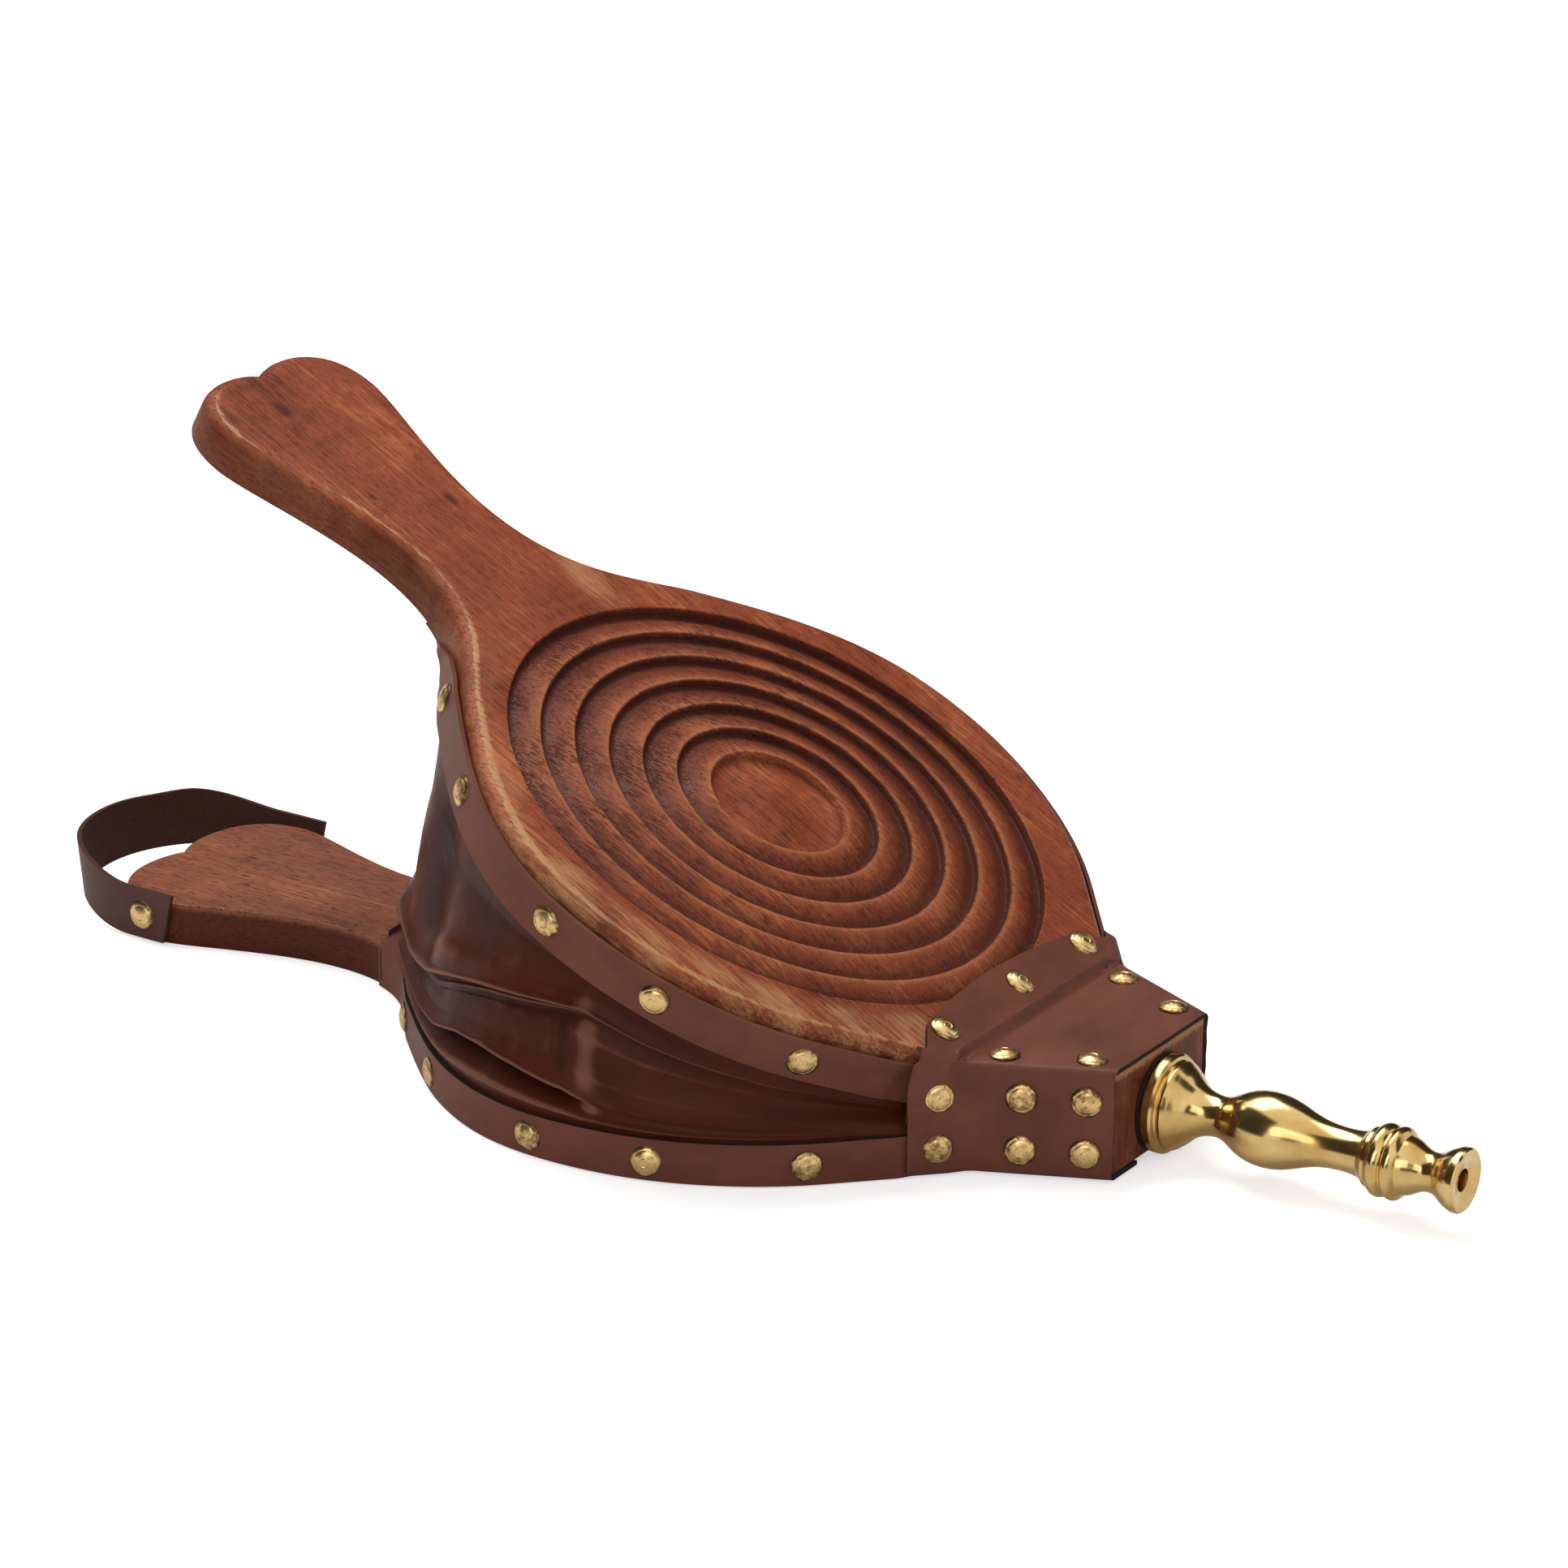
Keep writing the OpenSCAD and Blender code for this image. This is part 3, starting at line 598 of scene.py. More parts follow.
def build_nose_block():
    piece = copy_of("nose_block", "block")
    mesh = piece.data
    front = FRONT_X * MM

    def face_rim(edge):
        a, b = (mesh.vertices[i].co for i in edge.vertices)
        on_front = abs(a.x - front) < 1e-6 and abs(b.x - front) < 1e-6
        return on_front and max(abs(a.y), abs(b.y)) > 20 * MM
    edit(piece, "EDGE", face_rim)
    bpy.ops.mesh.bevel(offset=0.7 * MM, segments=3, profile=0.5, clamp_overlap=False)
    leave()
    smooth(piece, SMOOTH_BELOW)
    finish(piece, "base", end_wood(), ["nose_block"])

    screws = []
    for y in (-14, 14):
        screw = lathe("screw", [(0, 0), (0, 3.2), (0.15, 3.4), (2.2, 1.75), (20, 1.75), (20, 0)], 32)
        slot = prism("slot", [(-4, -0.45), (4, -0.45), (4, 0.45), (-4, 0.45)], -1, 0.8)
        slot.data.transform(Matrix.Rotation(math.radians(24 + y), 4, "Z"))
        cut(screw, slot)
        screw.data.transform(Matrix.Translation(Vector((HINGE.x + 10.5, y, BLOCK_BASE)) * MM))
        screws.append(screw)
    pair = join("block_screw_pair", screws)
    smooth(pair, SMOOTH_BELOW)
    finish(pair, "base", plated_steel(), ["block_screws"])


# ---- Nozzle ----

def nozzle_profile():
    """Turned section of the nozzle as (distance ahead of the block, radius), in millimetres."""
    bore = mm("bore")
    stem = [(1.2, 7.0), (1.2, 13.4), (1.5, 14.6), (2.2, 15.0), (4.4, 15.0), (5.1, 14.5), (5.4, 13.5),
            (5.9, 13.1), (6.3, 13.3), (7.2, 13.3), (7.9, 12.9), (8.5, 12.4)]
    curves = (bezier((9.0, 12.0), (11.6, 10.6), (13.0, 6.4), (20.4, 6.15), 9)
              + bezier((20.4, 6.15), (25.4, 6.2), (27.2, 11.1), (36.8, 11.25), 9)
              + bezier((36.8, 11.25), (46.2, 11.2), (49.0, 6.6), (60.0, 6.4), 11)
              + bezier((60.0, 6.4), (64.5, 6.3), (67.0, 6.8), (69.3, 7.6), 5))
    collar = [(69.5, 8.6), (70.1, 9.0), (71.2, 9.1), (71.6, 9.4), (72.1, 10.1), (72.9, 10.7),
              (74.0, 10.95), (75.1, 10.75), (75.8, 10.3), (76.2, 9.8), (76.6, 9.8), (77.0, 10.3),
              (77.7, 10.75), (78.6, 10.9), (79.5, 10.65), (80.1, 10.1), (80.5, 9.4), (80.9, 8.8),
              (82.4, 8.5)]
    tip = (bezier((82.4, 8.5), (85.0, 7.8), (86.0, 6.0), (89.0, 5.9), 6)
           + bezier((89.0, 5.9), (92.5, 5.9), (94.0, 8.9), (96.6, 9.2), 6))
    mouth = [(97.0, 9.5), (97.8, 9.75), (99.2, 9.7), (99.8, 9.2), (99.9, 8.2), (99.5, 6.4),
             (98.9, 4.6), (98.6, bore + 0.2), (97.4, bore), (70, bore), (20, bore), (-18, bore),
             (-18, 6.6), (-17.6, 7.0)]
    return stem + [tuple(p) for p in curves] + collar + [tuple(p) for p in tip] + mouth


def build_nozzle():
    ahead = (Matrix.Translation(Vector((FRONT_X, 0, NOZZLE_Z)) * MM)
             @ Matrix.Rotation(math.radians(90), 4, "Y"))
    nozzle = lathe("brass_nozzle", nozzle_profile(), 96, 28)
    nozzle.data.transform(ahead)
    finish(nozzle, "base", turned_brass(), ["nozzle"])
    section = [(0.05, 7.1), (0.05, 14.6), (0.25, 14.9), (0.95, 14.9), (1.15, 14.6), (1.15, 7.1)]
    gasket = lathe("nozzle_gasket", section, 64)
    gasket.data.transform(ahead)
    finish(gasket, "base", raw_leather(), ["nozzle_washer"])


# ---- Tacks ----

def tack_profile(length, head_r, head_h, shank_r):
    """Section of a pressed tack: a small flat centre ringed by a groove, then the dome."""
    dome = []
    for share in (0, 0.12, 0.24, 0.27, 0.31, 0.36, 0.48, 0.6, 0.70, 0.75, 0.80, 0.88, 0.955):
        height = head_h * (0.12 + 0.88 * (1 - share ** 2.1))
        if share < 0.25:
            height = head_h * (0.12 + 0.88 * (1 - 0.26 ** 2.1)) - 0.01 * head_h
        if share in (0.27, 0.75):
            height -= 0.06 * head_h
        dome.append((height, share * head_r))
    rim = [(0.1 * head_h, 0.99 * head_r), (0.04 * head_h, head_r), (0, 0.98 * head_r)]
    return dome + rim + [(0, shank_r), (-length, shank_r), (-length - 1.2, 0)]


def tack_seats(node):
    """Base point and outward direction of each tack in a frame node, in millimetres."""
    mesh = frame["nodes"][node].data
    keys, owner = {}, []
    for v in mesh.vertices:
        key = tuple(round(c / MM, 3) for c in v.co)
        owner.append(keys.setdefault(key, len(keys)))
    points = [Vector(k) for k in keys]
    parent = list(range(len(points)))

    def root(i):
        while parent[i] != i:
            parent[i] = parent[parent[i]]
            i = parent[i]
        return i
    for face in mesh.polygons:
        first = root(owner[face.vertices[0]])
        for i in face.vertices[1:]:
            parent[root(owner[i])] = first
    groups = {}
    for i, p in enumerate(points):
        groups.setdefault(root(i), []).append(p)
    seats = []
    for group in groups.values():
        tip = max(group, key=lambda p: sum((p - q).length for q in group))
        crown = max(group, key=lambda p: (p - tip).length)
        head = [p for p in group if (p - tip).length > 0.8 * (crown - tip).length]
        centre = sum(head, Vector()) / len(head)
        axis = (centre - tip).normalized()
        radii = [((p - tip) - axis * (p - tip).dot(axis)).length for p in group]
        widest = max(radii)
        base = min((p - tip).dot(axis) for p, r in zip(group, radii) if r > 0.97 * widest)
        seats.append((tip + axis * base, axis))
    return sorted(seats, key=lambda s: tuple(round(c, 2) for c in s[0]))


TACK_GROUPS = (
    ("lower_band_tacks_left", "base"), ("lower_band_tacks_right", "base"),
    ("wrap_side_tacks_left", "base"), ("wrap_side_tacks_right", "base"),
    ("wrap_top_tacks", "base"), ("wrap_bottom_tacks", "base"), ("strap_tacks", "base"),
    ("upper_band_tacks_left", "upper_board"), ("upper_band_tacks_right", "upper_board"),
    ("hinge_tacks", "upper_board"), ("valve_tacks", "base"))


SHANK_LENGTH = 5
# Heads, in millimetres: height, shank's radius, and the most tilt in degrees.
DOMED_HEAD = (1.75, 1.0, 4)
WORN_HEAD = (0.68, 1.0, 0.4)      # under the nose, flat enough to clear the floor
VALVE_HEAD = (1.0, 0.8, 0.4)
VALVE_HEAD_RADIUS = 2.6


def build_tacks():
    """Every group of tacks, each head a little tilted as hand-driven tacks are."""
    dice = random.Random(7)
    material = aged_brass()
    for node, body in TACK_GROUPS:
        kinds = {"valve_tacks": VALVE_HEAD, "wrap_bottom_tacks": WORN_HEAD}
        head_h, shank_r, tilt_most = kinds.get(node, DOMED_HEAD)
        head_r = VALVE_HEAD_RADIUS if node == "valve_tacks" else mm("tack_head")
        made = []
        for place, axis in tack_seats(node):
            tack = lathe("tack", tack_profile(SHANK_LENGTH, head_r, head_h, shank_r), 32, 30)
            for v in tack.data.vertices:
                spot = v.co / MM
                dent = 0.012 * noise.noise(spot * 0.6 + Vector((dice.random(), 0, 0)) * 0.01
                                          + place * 0.37)
                if spot.z > 0.3 * head_h:
                    v.co.z += dent * MM
            set_attribute(tack, "rim", [v.co.xy.length / MM / head_r for v in tack.data.vertices])
            turn = axis.to_track_quat("Z", "Y").to_matrix().to_4x4()
            lean = Euler([math.radians(dice.uniform(-tilt_most, tilt_most)) for _ in range(2)]
                         + [dice.uniform(0, math.tau)]).to_matrix().to_4x4()
            tack.data.transform(Matrix.Translation(place * MM) @ turn @ lean)
            made.append(tack)
        piece = join(node + "_brass", made)
        smooth(piece, 30)
        finish(piece, body, material, [node])


# ---- Bands ----

COLLAR_X = -118        # where a band crosses the handle's neck
COLLAR_RUN = 9.4       # how far its edge leans forward over the neck, and how high it stands
COLLAR_RISE = 7.2
ARRIS_SHARE = 0.62     # share of a band's width that lies outside the board's inner arris


def band_columns(rise, outer_line, inner_side, end_x, tuck=0.0):
    """Lines across a band as (outer edge, board's inner arris, inner edge), in (x, y, h).

    h is the height above the board's outer face. outer_line gives the outer edge's h at x,
    inner_side is the inner edge's h along the sides, and tuck is how far the neck's strip
    is drawn in from the handle's side.
    """
    face = BOARD_T + 0.05
    leather = mm("leather")
    side = []
    for p, n in reversed(stations(COLLAR_X, end_x)):
        lift = 1 - ramp(p.x, -108, -92)
        off = mix(2.5, 1.55, ramp(-p.x, 94, 104)) - tuck * ramp(-p.x, 105, 111)
        off -= (2.5 - 1.48) * ramp(p.x, WRAP_REAR_X - 4, WRAP_REAR_X - 0.6)
        skin = p + n * off
        # Under the wrap the end is cut at a slant, clear of the wrap's side tack.
        over = Vector((-1, 1)) * max(0.0, p.x - BAND_END_X)
        outer = Vector((*(skin + over * 0.5), along_line(p.x, outer_line)))
        arris_h = mix(ARRIS_SHARE * inner_side, face + 0.6, ramp(-p.x, 84, 96))
        arris = Vector((*(skin + over * 0.33), arris_h))
        inner = Vector((skin.x, skin.y, inner_side))
        collar = Vector((skin.x + COLLAR_RUN * lift, skin.y - n.y * 2.2 * lift,
                         face + leather * 0.8 + rise * lift))
        side.append((outer, arris, inner.lerp(collar, ramp(-p.x, 84, 98))))
    last = side[-1]
    half = last[0].y
    across = []
    steps = 9
    for i in range(1, steps + 1):
        y = half * math.cos(math.pi / 2 * i / steps)
        soft = 1 - ramp(abs(y), half - 5, half)
        outer_h = mix(last[0].z, face + leather * 0.75, ramp(i, 0.2, 2.2))
        outer = Vector((COLLAR_X - 0.6 * soft, y, outer_h))
        arris = Vector((COLLAR_X + 1.6, y, face + leather * 1.15))
        inner = Vector((COLLAR_X + COLLAR_RUN - 0.7, y, face + leather * 0.8 + rise))
        if abs(y) > half - 2.6:
            arris = Vector((COLLAR_X, y, min(arris.z, face + 0.9)))
        across.append((outer, arris, inner))
    near = [tuple(Vector((p.x, -p.y, p.z)) for p in column) for column in side + across[:-1]]
    return near + [across[-1]] + [column for column in reversed(side + across[:-1])]


def build_band(name, columns, to_frame, wave_seed):
    """A leather band laid over its lines: outer edge, arris of the board, inner edge."""
    count = len(columns) - 1
    rows = 14

    def place(u, v):
        t = u * count
        i = min(count - 1, int(t))
        outer, arris, inner = (columns[i][k].lerp(columns[i + 1][k], t - i) for k in range(3))
        if v < ARRIS_SHARE:
            spot = outer.lerp(arris, v / ARRIS_SHARE)
        else:
            spot = arris.lerp(inner, (v - ARRIS_SHARE) / (1 - ARRIS_SHARE))
        wave = 0.22 * noise.noise(Vector((spot.x * 0.035, spot.y * 0.035, wave_seed + v)))
        wave *= 1 - ramp(spot.x, WRAP_REAR_X - 8, WRAP_REAR_X - 1)
        out = Vector((spot.x, spot.y, 0)).normalized()
        spot = spot + out * max(-0.1, wave)
        return to_frame(spot)
    return sheet_grid(name, count * 2, rows, place, (620, 13))


def upper_frame(point):
    """From a height above the upper board's outer face to the frame, opened."""
    return opened(Vector((point.x, point.y, UPPER_TOP - point.z)))


def build_lower_band():
    columns = band_columns(COLLAR_RISE, [(-200, 0.5), (100, 0.5)], 13.5, BAND_END_X)
    piece = build_band("lower_band_leather", columns, lambda p: p, 2)
    thicken(piece, mm("leather"), turned=True)
    smooth(piece, 50)
    finish(piece, "base", brown_leather(), ["lower_band"], raw_leather())


def build_upper_band():
    line = [(-118, 13.9), (-109, 13.2), (-103, 10.6), (-96, 6.6), (-88, 4.1), (-80, 3.6), (100, 3.6)]
    columns = band_columns(0.8, line, 17.6, BAND_END_X + 6, tuck=1.9)
    piece = build_band("upper_band_leather", columns, upper_frame, 5)
    thicken(piece, mm("leather"))
    plain_rim(piece, lambda uv: uv.y < 0.1 * MM)
    smooth(piece, 50)
    finish(piece, "upper_board", brown_leather(), ["upper_band"], raw_leather())


# ---- Gusset ----

# Lines of the folds along a side, as (x, share of the opening).
RIDGE_HIGH = [(-108, 0.20), (-75, 0.22), (-57, 0.29), (-41, 0.40), (-25, 0.505), (-8, 0.60),
              (13, 0.73), (32, 0.69), (57, 0.65), (80, 0.55), (96, 0.5)]
RIDGE_LOW = [(-108, 0.085), (-67, 0.087), (-51, 0.123), (-37, 0.188), (-25, 0.215), (-11, 0.21),
             (6, 0.18), (12, 0.15), (30, 0.12), (96, 0.1)]
FOLD_FRONT_X = FOOT_X - 1
FOLD_REAR_X = -108


def gusset_path():
    """Points and normals from the nose to the neck's middle, and 1 on the side or 0 at the neck."""
    side = [(p, n, 1.0) for p, n in reversed(stations(-96, FOOT_X + 1, 2.2))]
    start, normal = side[-1][0], side[-1][1]
    tangent = Vector((-normal.y, normal.x))
    turn = bezier(start, start + tangent * 7, (FOLD_REAR_X, 16), (FOLD_REAR_X, 0), 22)
    turn.append(Vector((FOLD_REAR_X, 0)))
    rest = []
    for i in range(1, len(turn)):
        a, b = turn[i - 1], turn[min(i + 1, len(turn) - 1)]
        t = (b - a).normalized()
        rest.append((turn[i], Vector((t.y, -t.x)), 1 - ramp(i, 0, 4)))
    rest[-1] = (rest[-1][0], Vector((-1, 0)), 0.0)
    return side + rest


def fold_section(x, side):
    """The two ridges' shares at x, and the leather's section as a list of (share, mm outwards)."""
    amount = min(1, max(0, (FOLD_FRONT_X - x) / 60)) ** 0.8
    deep = mm("fold_depth") * amount
    shift = 6 if side > 0 else 0
    high = along_line(x + shift, RIDGE_HIGH)
    low = along_line(x - shift, RIDGE_LOW)
    hook = 1 - ramp(x - shift, 4, 16)           # the lower fold ends in a hooked crease
    front = ramp(x - shift, 10, 40)
    gap = high - low
    recess = deep * mix(0.06, 0.80, hook)
    return low, high, [
        (0.0, 0.0),
        (0.30 * low, 1.2 * amount),
        (0.52 * low, 0.2 * amount - 0.4 * recess),
        (0.80 * low, -recess),
        (low - 0.016, -recess * 0.80),
        (low, mix(-0.2, 1.5, hook) * amount),
        (low + 0.018, mix(0.2, 0.3, hook) * amount),
        (low + 0.30 * gap, -deep * mix(-0.20, 0.18, hook)),
        (low + 0.70 * gap, -deep * mix(-0.06, 0.36, hook)),
        (high - 0.075, -deep * mix(0.30, 0.46, hook)),
        (high - 0.042, -deep * 0.30),
        (high - 0.026, -deep * 0.48),
        (high - 0.010, -deep * 0.16),
        (high, mix(1.9, 1.3, front) * amount),
        (high + 0.022, 0.5 * amount),
        (mix(high, 1, 0.25), -0.14 * deep),
        (mix(high, 1, 0.65), -0.30 * deep),
        (1.0, 0.0)]


def follow(place, low, high):
    """The share at a place of the grid from 0 to 1, so that whole rows lie on the two ridges."""
    return along_line(place, [(0, 0), (0.16, low), (0.5, high), (1, 1)])


def smooth_section(section, share, blur):
    """The section at a share, rounded over a blur width."""
    weights = ((-1, 0.12), (-0.6, 0.2), (0, 0.36), (0.6, 0.2), (1, 0.12))
    return sum(w * along_line(min(1, max(0, share + o * blur)), section) for o, w in weights)


def gusset_shape():
    """A function from a place of the grid to its point, share of the opening and depth outwards."""
    path = gusset_path()
    half = len(path) - 1
    floor, roof = BOARD_T + 0.05, UPPER_BASE - 0.05
    hem_up, hem_down = 5.4, 2.2   # how far the hems run on past the boards' inner faces
    hem_rows = 0.04               # share of the grid's rows that lie in each hem
    hem_share = 0.0434            # the same, as a share of the rows between the boards
    hem_out = 0.05 + mm("gusset")
    angle = bpy.context.scene.bellows_sizes.rest_open
    sections = {}

    def station(u):
        t = u * 2 * half
        side = -1 if t <= half else 1
        t = t if t <= half else 2 * half - t
        i = min(half - 1, int(t))
        (p0, n0, e0), (p1, n1, e1) = path[i], path[i + 1]
        k = t - i
        p, n = p0.lerp(p1, k), n0.lerp(n1, k).normalized()
        return side, p, n, mix(e0, e1, k)

    def place(u, v):
        side, p, n, edge = station(u)
        key = (side, round(p.x, 4), round(p.y, 4))
        if key not in sections:
            sections[key] = fold_section(p.x, side)
        low, high, section = sections[key]
        row = (v - hem_rows) / (1 - 2 * hem_rows)
        if row < 0:
            share, z = 0.0, floor - hem_up * edge * min(1, -row / hem_share)
        elif row > 1:
            share, z = 1.0, roof + hem_down * edge * min(1, (row - 1) / hem_share)
        else:
            share = follow(row, low, high)
            z = floor + (roof - floor) * (0.004 + 0.992 * share)
        depth = smooth_section(section, share, 0.006) if 0 < share < 1 else 0.0
        height = (HINGE.x - p.x) * math.sin(angle)
        lively = min(1, height / 60) * math.sin(math.pi * min(1, max(0, share))) ** 0.5
        at = Vector((p.x * 0.05, side * p.y * 0.05, share * height * 0.05 + side))
        depth += 0.7 * lively * noise.noise(at * 1.1)
        depth += 0.12 * lively * noise.noise(at * 4 + Vector((0, 0, 9)))
        depth += (puckers(p.x, share, side) - facet_depth(p, share)) * lively
        draw = (HINGE.z - BOARD_T) * math.sin((1 - share) * angle) * max(0, n.x)
        draw *= ramp(share, 0.15, 0.5)
        spot = p + n * (hem_out + depth - draw)
        point = Vector((spot.x, side * spot.y, z))
        return swing(point, share * angle), share, depth
    return place


def facet_depth(p, share):
    """Flat facets where the leather is pulled straight between the boards' tacks."""
    around = math.degrees(math.atan2(p.y, p.x))
    depth = 0
    for start, end, sag in ((96, 118, 1.6), (118, 144, 3.4), (144, 172, 4.6)):
        if start < around < end:
            t = (around - start) / (end - start)
            depth += sag * math.sin(math.pi * t) ** 1.7
    high = along_line(p.x, RIDGE_HIGH)
    return depth * ramp(share, high, high + 0.14)


def puckers(x, share, side):
    """Local swells and pulls: above the upper ridge, at the rear corner and past the hook."""
    shift = 6 if side > 0 else 0
    high, low = along_line(x + shift, RIDGE_HIGH), along_line(x - shift, RIDGE_LOW)
    middle = bump(share, (high + low) / 2, 0.10)
    swell = 2.2 * bump(share, high + 0.10, 0.06) * bump(x, -42, 20)
    corner = 2.4 * bump(share, (high + low) / 2, 0.05) * bump(x, -100, 9)
    pull = (0.6 * bump(x - shift, 4, 6.0) - 1.2 * bump(x - shift, 17, 9.0)) * middle
    hooked = -2.0 * bump(x - shift, 7, 2.0) * bump(share, low - 0.012, 0.018)
    return swell + corner + pull + hooked


def blend_by_share(piece, shares):
    """Lays each point along a line at the place whose eased value is its share of the opening,
    bakes the object's transform into the mesh, and puts the points back; nothing binds
    them to the boards.
    """
    places = [v.co.copy() for v in piece.data.vertices]
    for vertex, share in zip(piece.data.vertices, shares):
        eased = 0.5 - math.sin(math.asin(1 - 2 * share) / 3)
        vertex.co = (0, 0, eased)
    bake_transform(piece)
    for vertex, place in zip(piece.data.vertices, places):
        vertex.co = place
    piece.data.update()


def build_gusset():
    columns, rows = 290, 164
    shape = gusset_shape()
    shares, depths = [], []

    def place(u, v):
        point, share, depth = shape(u, v)
        shares.append(share)
        depths.append(max(0.0, -depth))
        return point
    piece = sheet_grid("gusset_leather", columns, rows, place, (580, 110))
    # The folds' depth and the sheet's bends drive the painted shade in the folds and the painted
    # highlight on the ridges.
    set_attribute(piece, "sunk", depths)
    set_attribute(piece, "share", shares)
    mark_creases(piece)
    thicken(piece, mm("gusset"), turned=True)
    smooth(piece, 180)
    kept = [0.0] * len(piece.data.vertices)
    piece.data.attributes["share"].data.foreach_get("value", kept)
    finish(piece, None, gusset_leather(), ["gusset"], raw_leather())
    blend_by_share(piece, kept)


def mark_creases(piece, gain=14):
    """Stores how sharply the sheet bends, above 0 on ridges and below 0 in creases, for the
    leather's painted highlight on ridges and painted shade in creases.

    The sheet still lies with its face inwards here, so its normals are taken backwards.
    """
    mesh = piece.data
    around = [[] for _ in mesh.vertices]
    for edge in mesh.edges:
        a, b = edge.vertices
        around[a].append(b)
        around[b].append(a)
    spots = [v.co.copy() for v in mesh.vertices]
    normals = [v.normal.copy() for v in mesh.vertices]
    bends = []
    for i, near in enumerate(around):
        centre = sum((spots[j] for j in near), Vector()) / max(1, len(near))
        bends.append((centre - spots[i]).dot(normals[i]) / MM)
    for _ in range(2):
        bends = [(bends[i] + sum(bends[j] for j in near)) / (1 + len(near))
                 for i, near in enumerate(around)]
    set_attribute(piece, "crease", [max(-1.0, min(1.0, b * gain)) for b in bends])


# ---- Nose wrap and hinge strip ----

WRAP_STAND = 2.95   # how far the wrap's face stands off the boards' edge, over the bands' ends


def wrap_half_width(x):
    """Half width of the wrap's outer face at x, in millimetres."""
    run = FRONT_X - HINGE.x
    taper = (NOSE_HALF - 26) / run
    back = TANGENT_SUM - x + WRAP_STAND * math.sqrt(2)
    front = NOSE_HALF - (x - HINGE.x) * taper + (mm("leather") + 0.05) / math.cos(math.atan(taper))
    return mix(back, front, ramp(x, HINGE.x - 1.5, HINGE.x + 4.5))


def rounded_corner(corner, before, after, radius, count):
    """Points round a corner of the section, between two directions."""
    a, b = corner + before * radius, corner + after * radius
    made = []
    for i in range(count + 1):
        t = i / count
        made.append(a * (1 - t) ** 2 + corner * 2 * t * (1 - t) + b * t * t)
    return made


def build_nose_wrap():
    low = BLOCK_BASE - mm("leather") - 0.05
    top = HINGE.z
    lap = 15
    xs = ([mix(WRAP_REAR_X, HINGE.x, i / 8) for i in range(8)]
          + [mix(HINGE.x + 0.2, FRONT_X + 0.25, i / 22) for i in range(23)])

    def section(x):
        half = wrap_half_width(x)
        line = [Vector((-half + lap, low)), Vector((-half + lap * 0.5, low))]
        line += rounded_corner(Vector((-half, low)), Vector((1, 0)), Vector((0, 1)), 1.8, 4)
        line += [Vector((-half, mix(low + 1.8, top - 2.6, i / 8))) for i in range(1, 8)]
        line += rounded_corner(Vector((-half, top)), Vector((0, -1)), Vector((1, 0)), 2.6, 6)
        line += [Vector((mix(-half + 2.6, 0, i / 7), top)) for i in range(1, 8)]
        return line + [Vector((-p.x, p.y)) for p in reversed(line[:-1])]
    sections = [section(x) for x in xs]
    count = len(sections[0]) - 1
    rounded_end = 18   # up to this place a section sways sideways, and past it up and down
    hinge_row = 8      # the first row ahead of the hinge

    def place(u, v):
        i = round(v * (len(xs) - 1))
        j = round(u * count)
        y, z = sections[i][j]
        x = xs[i]
        side = min(j, count - j)
        sway = 0.25 * noise.noise(Vector((x * 0.08, y * 0.06, z * 0.08)))
        if side > rounded_end:
            z += 0.35 * sway
            x_front = 0.3 * noise.noise(Vector((0, y * 0.15, 4)))
        else:
            y += math.copysign(0.6 * max(-0.15, sway), y)
            x_front = 0.35 * noise.noise(Vector((z * 0.2, y, 7)))
        if i == len(xs) - 1:
            x += x_front
        if side > rounded_end and i == hinge_row:
            z -= 0.9
        return Vector((x, y, z))
    piece = sheet_grid("wrap_leather", count, len(xs) - 1, place, (200, 50))
    # The wrap's bends drive painted shade in its creases and a painted highlight on its ridges.
    mark_creases(piece, 1.5)
    hinge = HINGE.x + 0.1
    # Over the boards the wrap's upper edge slants down to the rear, under the strip's wings.
    upper = [(WRAP_REAR_X, top - 10.5), (WRAP_REAR_X + 7, top - 2.9), (hinge, top - 2.9)]

    def surplus(face):
        x, y, z = face.center / MM
        if x > hinge or (x > hinge - 3.4 and abs(y) > NOSE_HALF - 3 and face.normal.z > -0.9):
            return False
        return z > along_line(x, upper) or face.normal.z < -0.9
    edit(piece, "FACE", surplus)
    bpy.ops.mesh.delete(type="FACE")
    leave()
    thicken(piece, mm("leather"), turned=True)
    smooth(piece, 50)
    finish(piece, "base", brown_leather(), ["nose_wrap"], raw_leather())


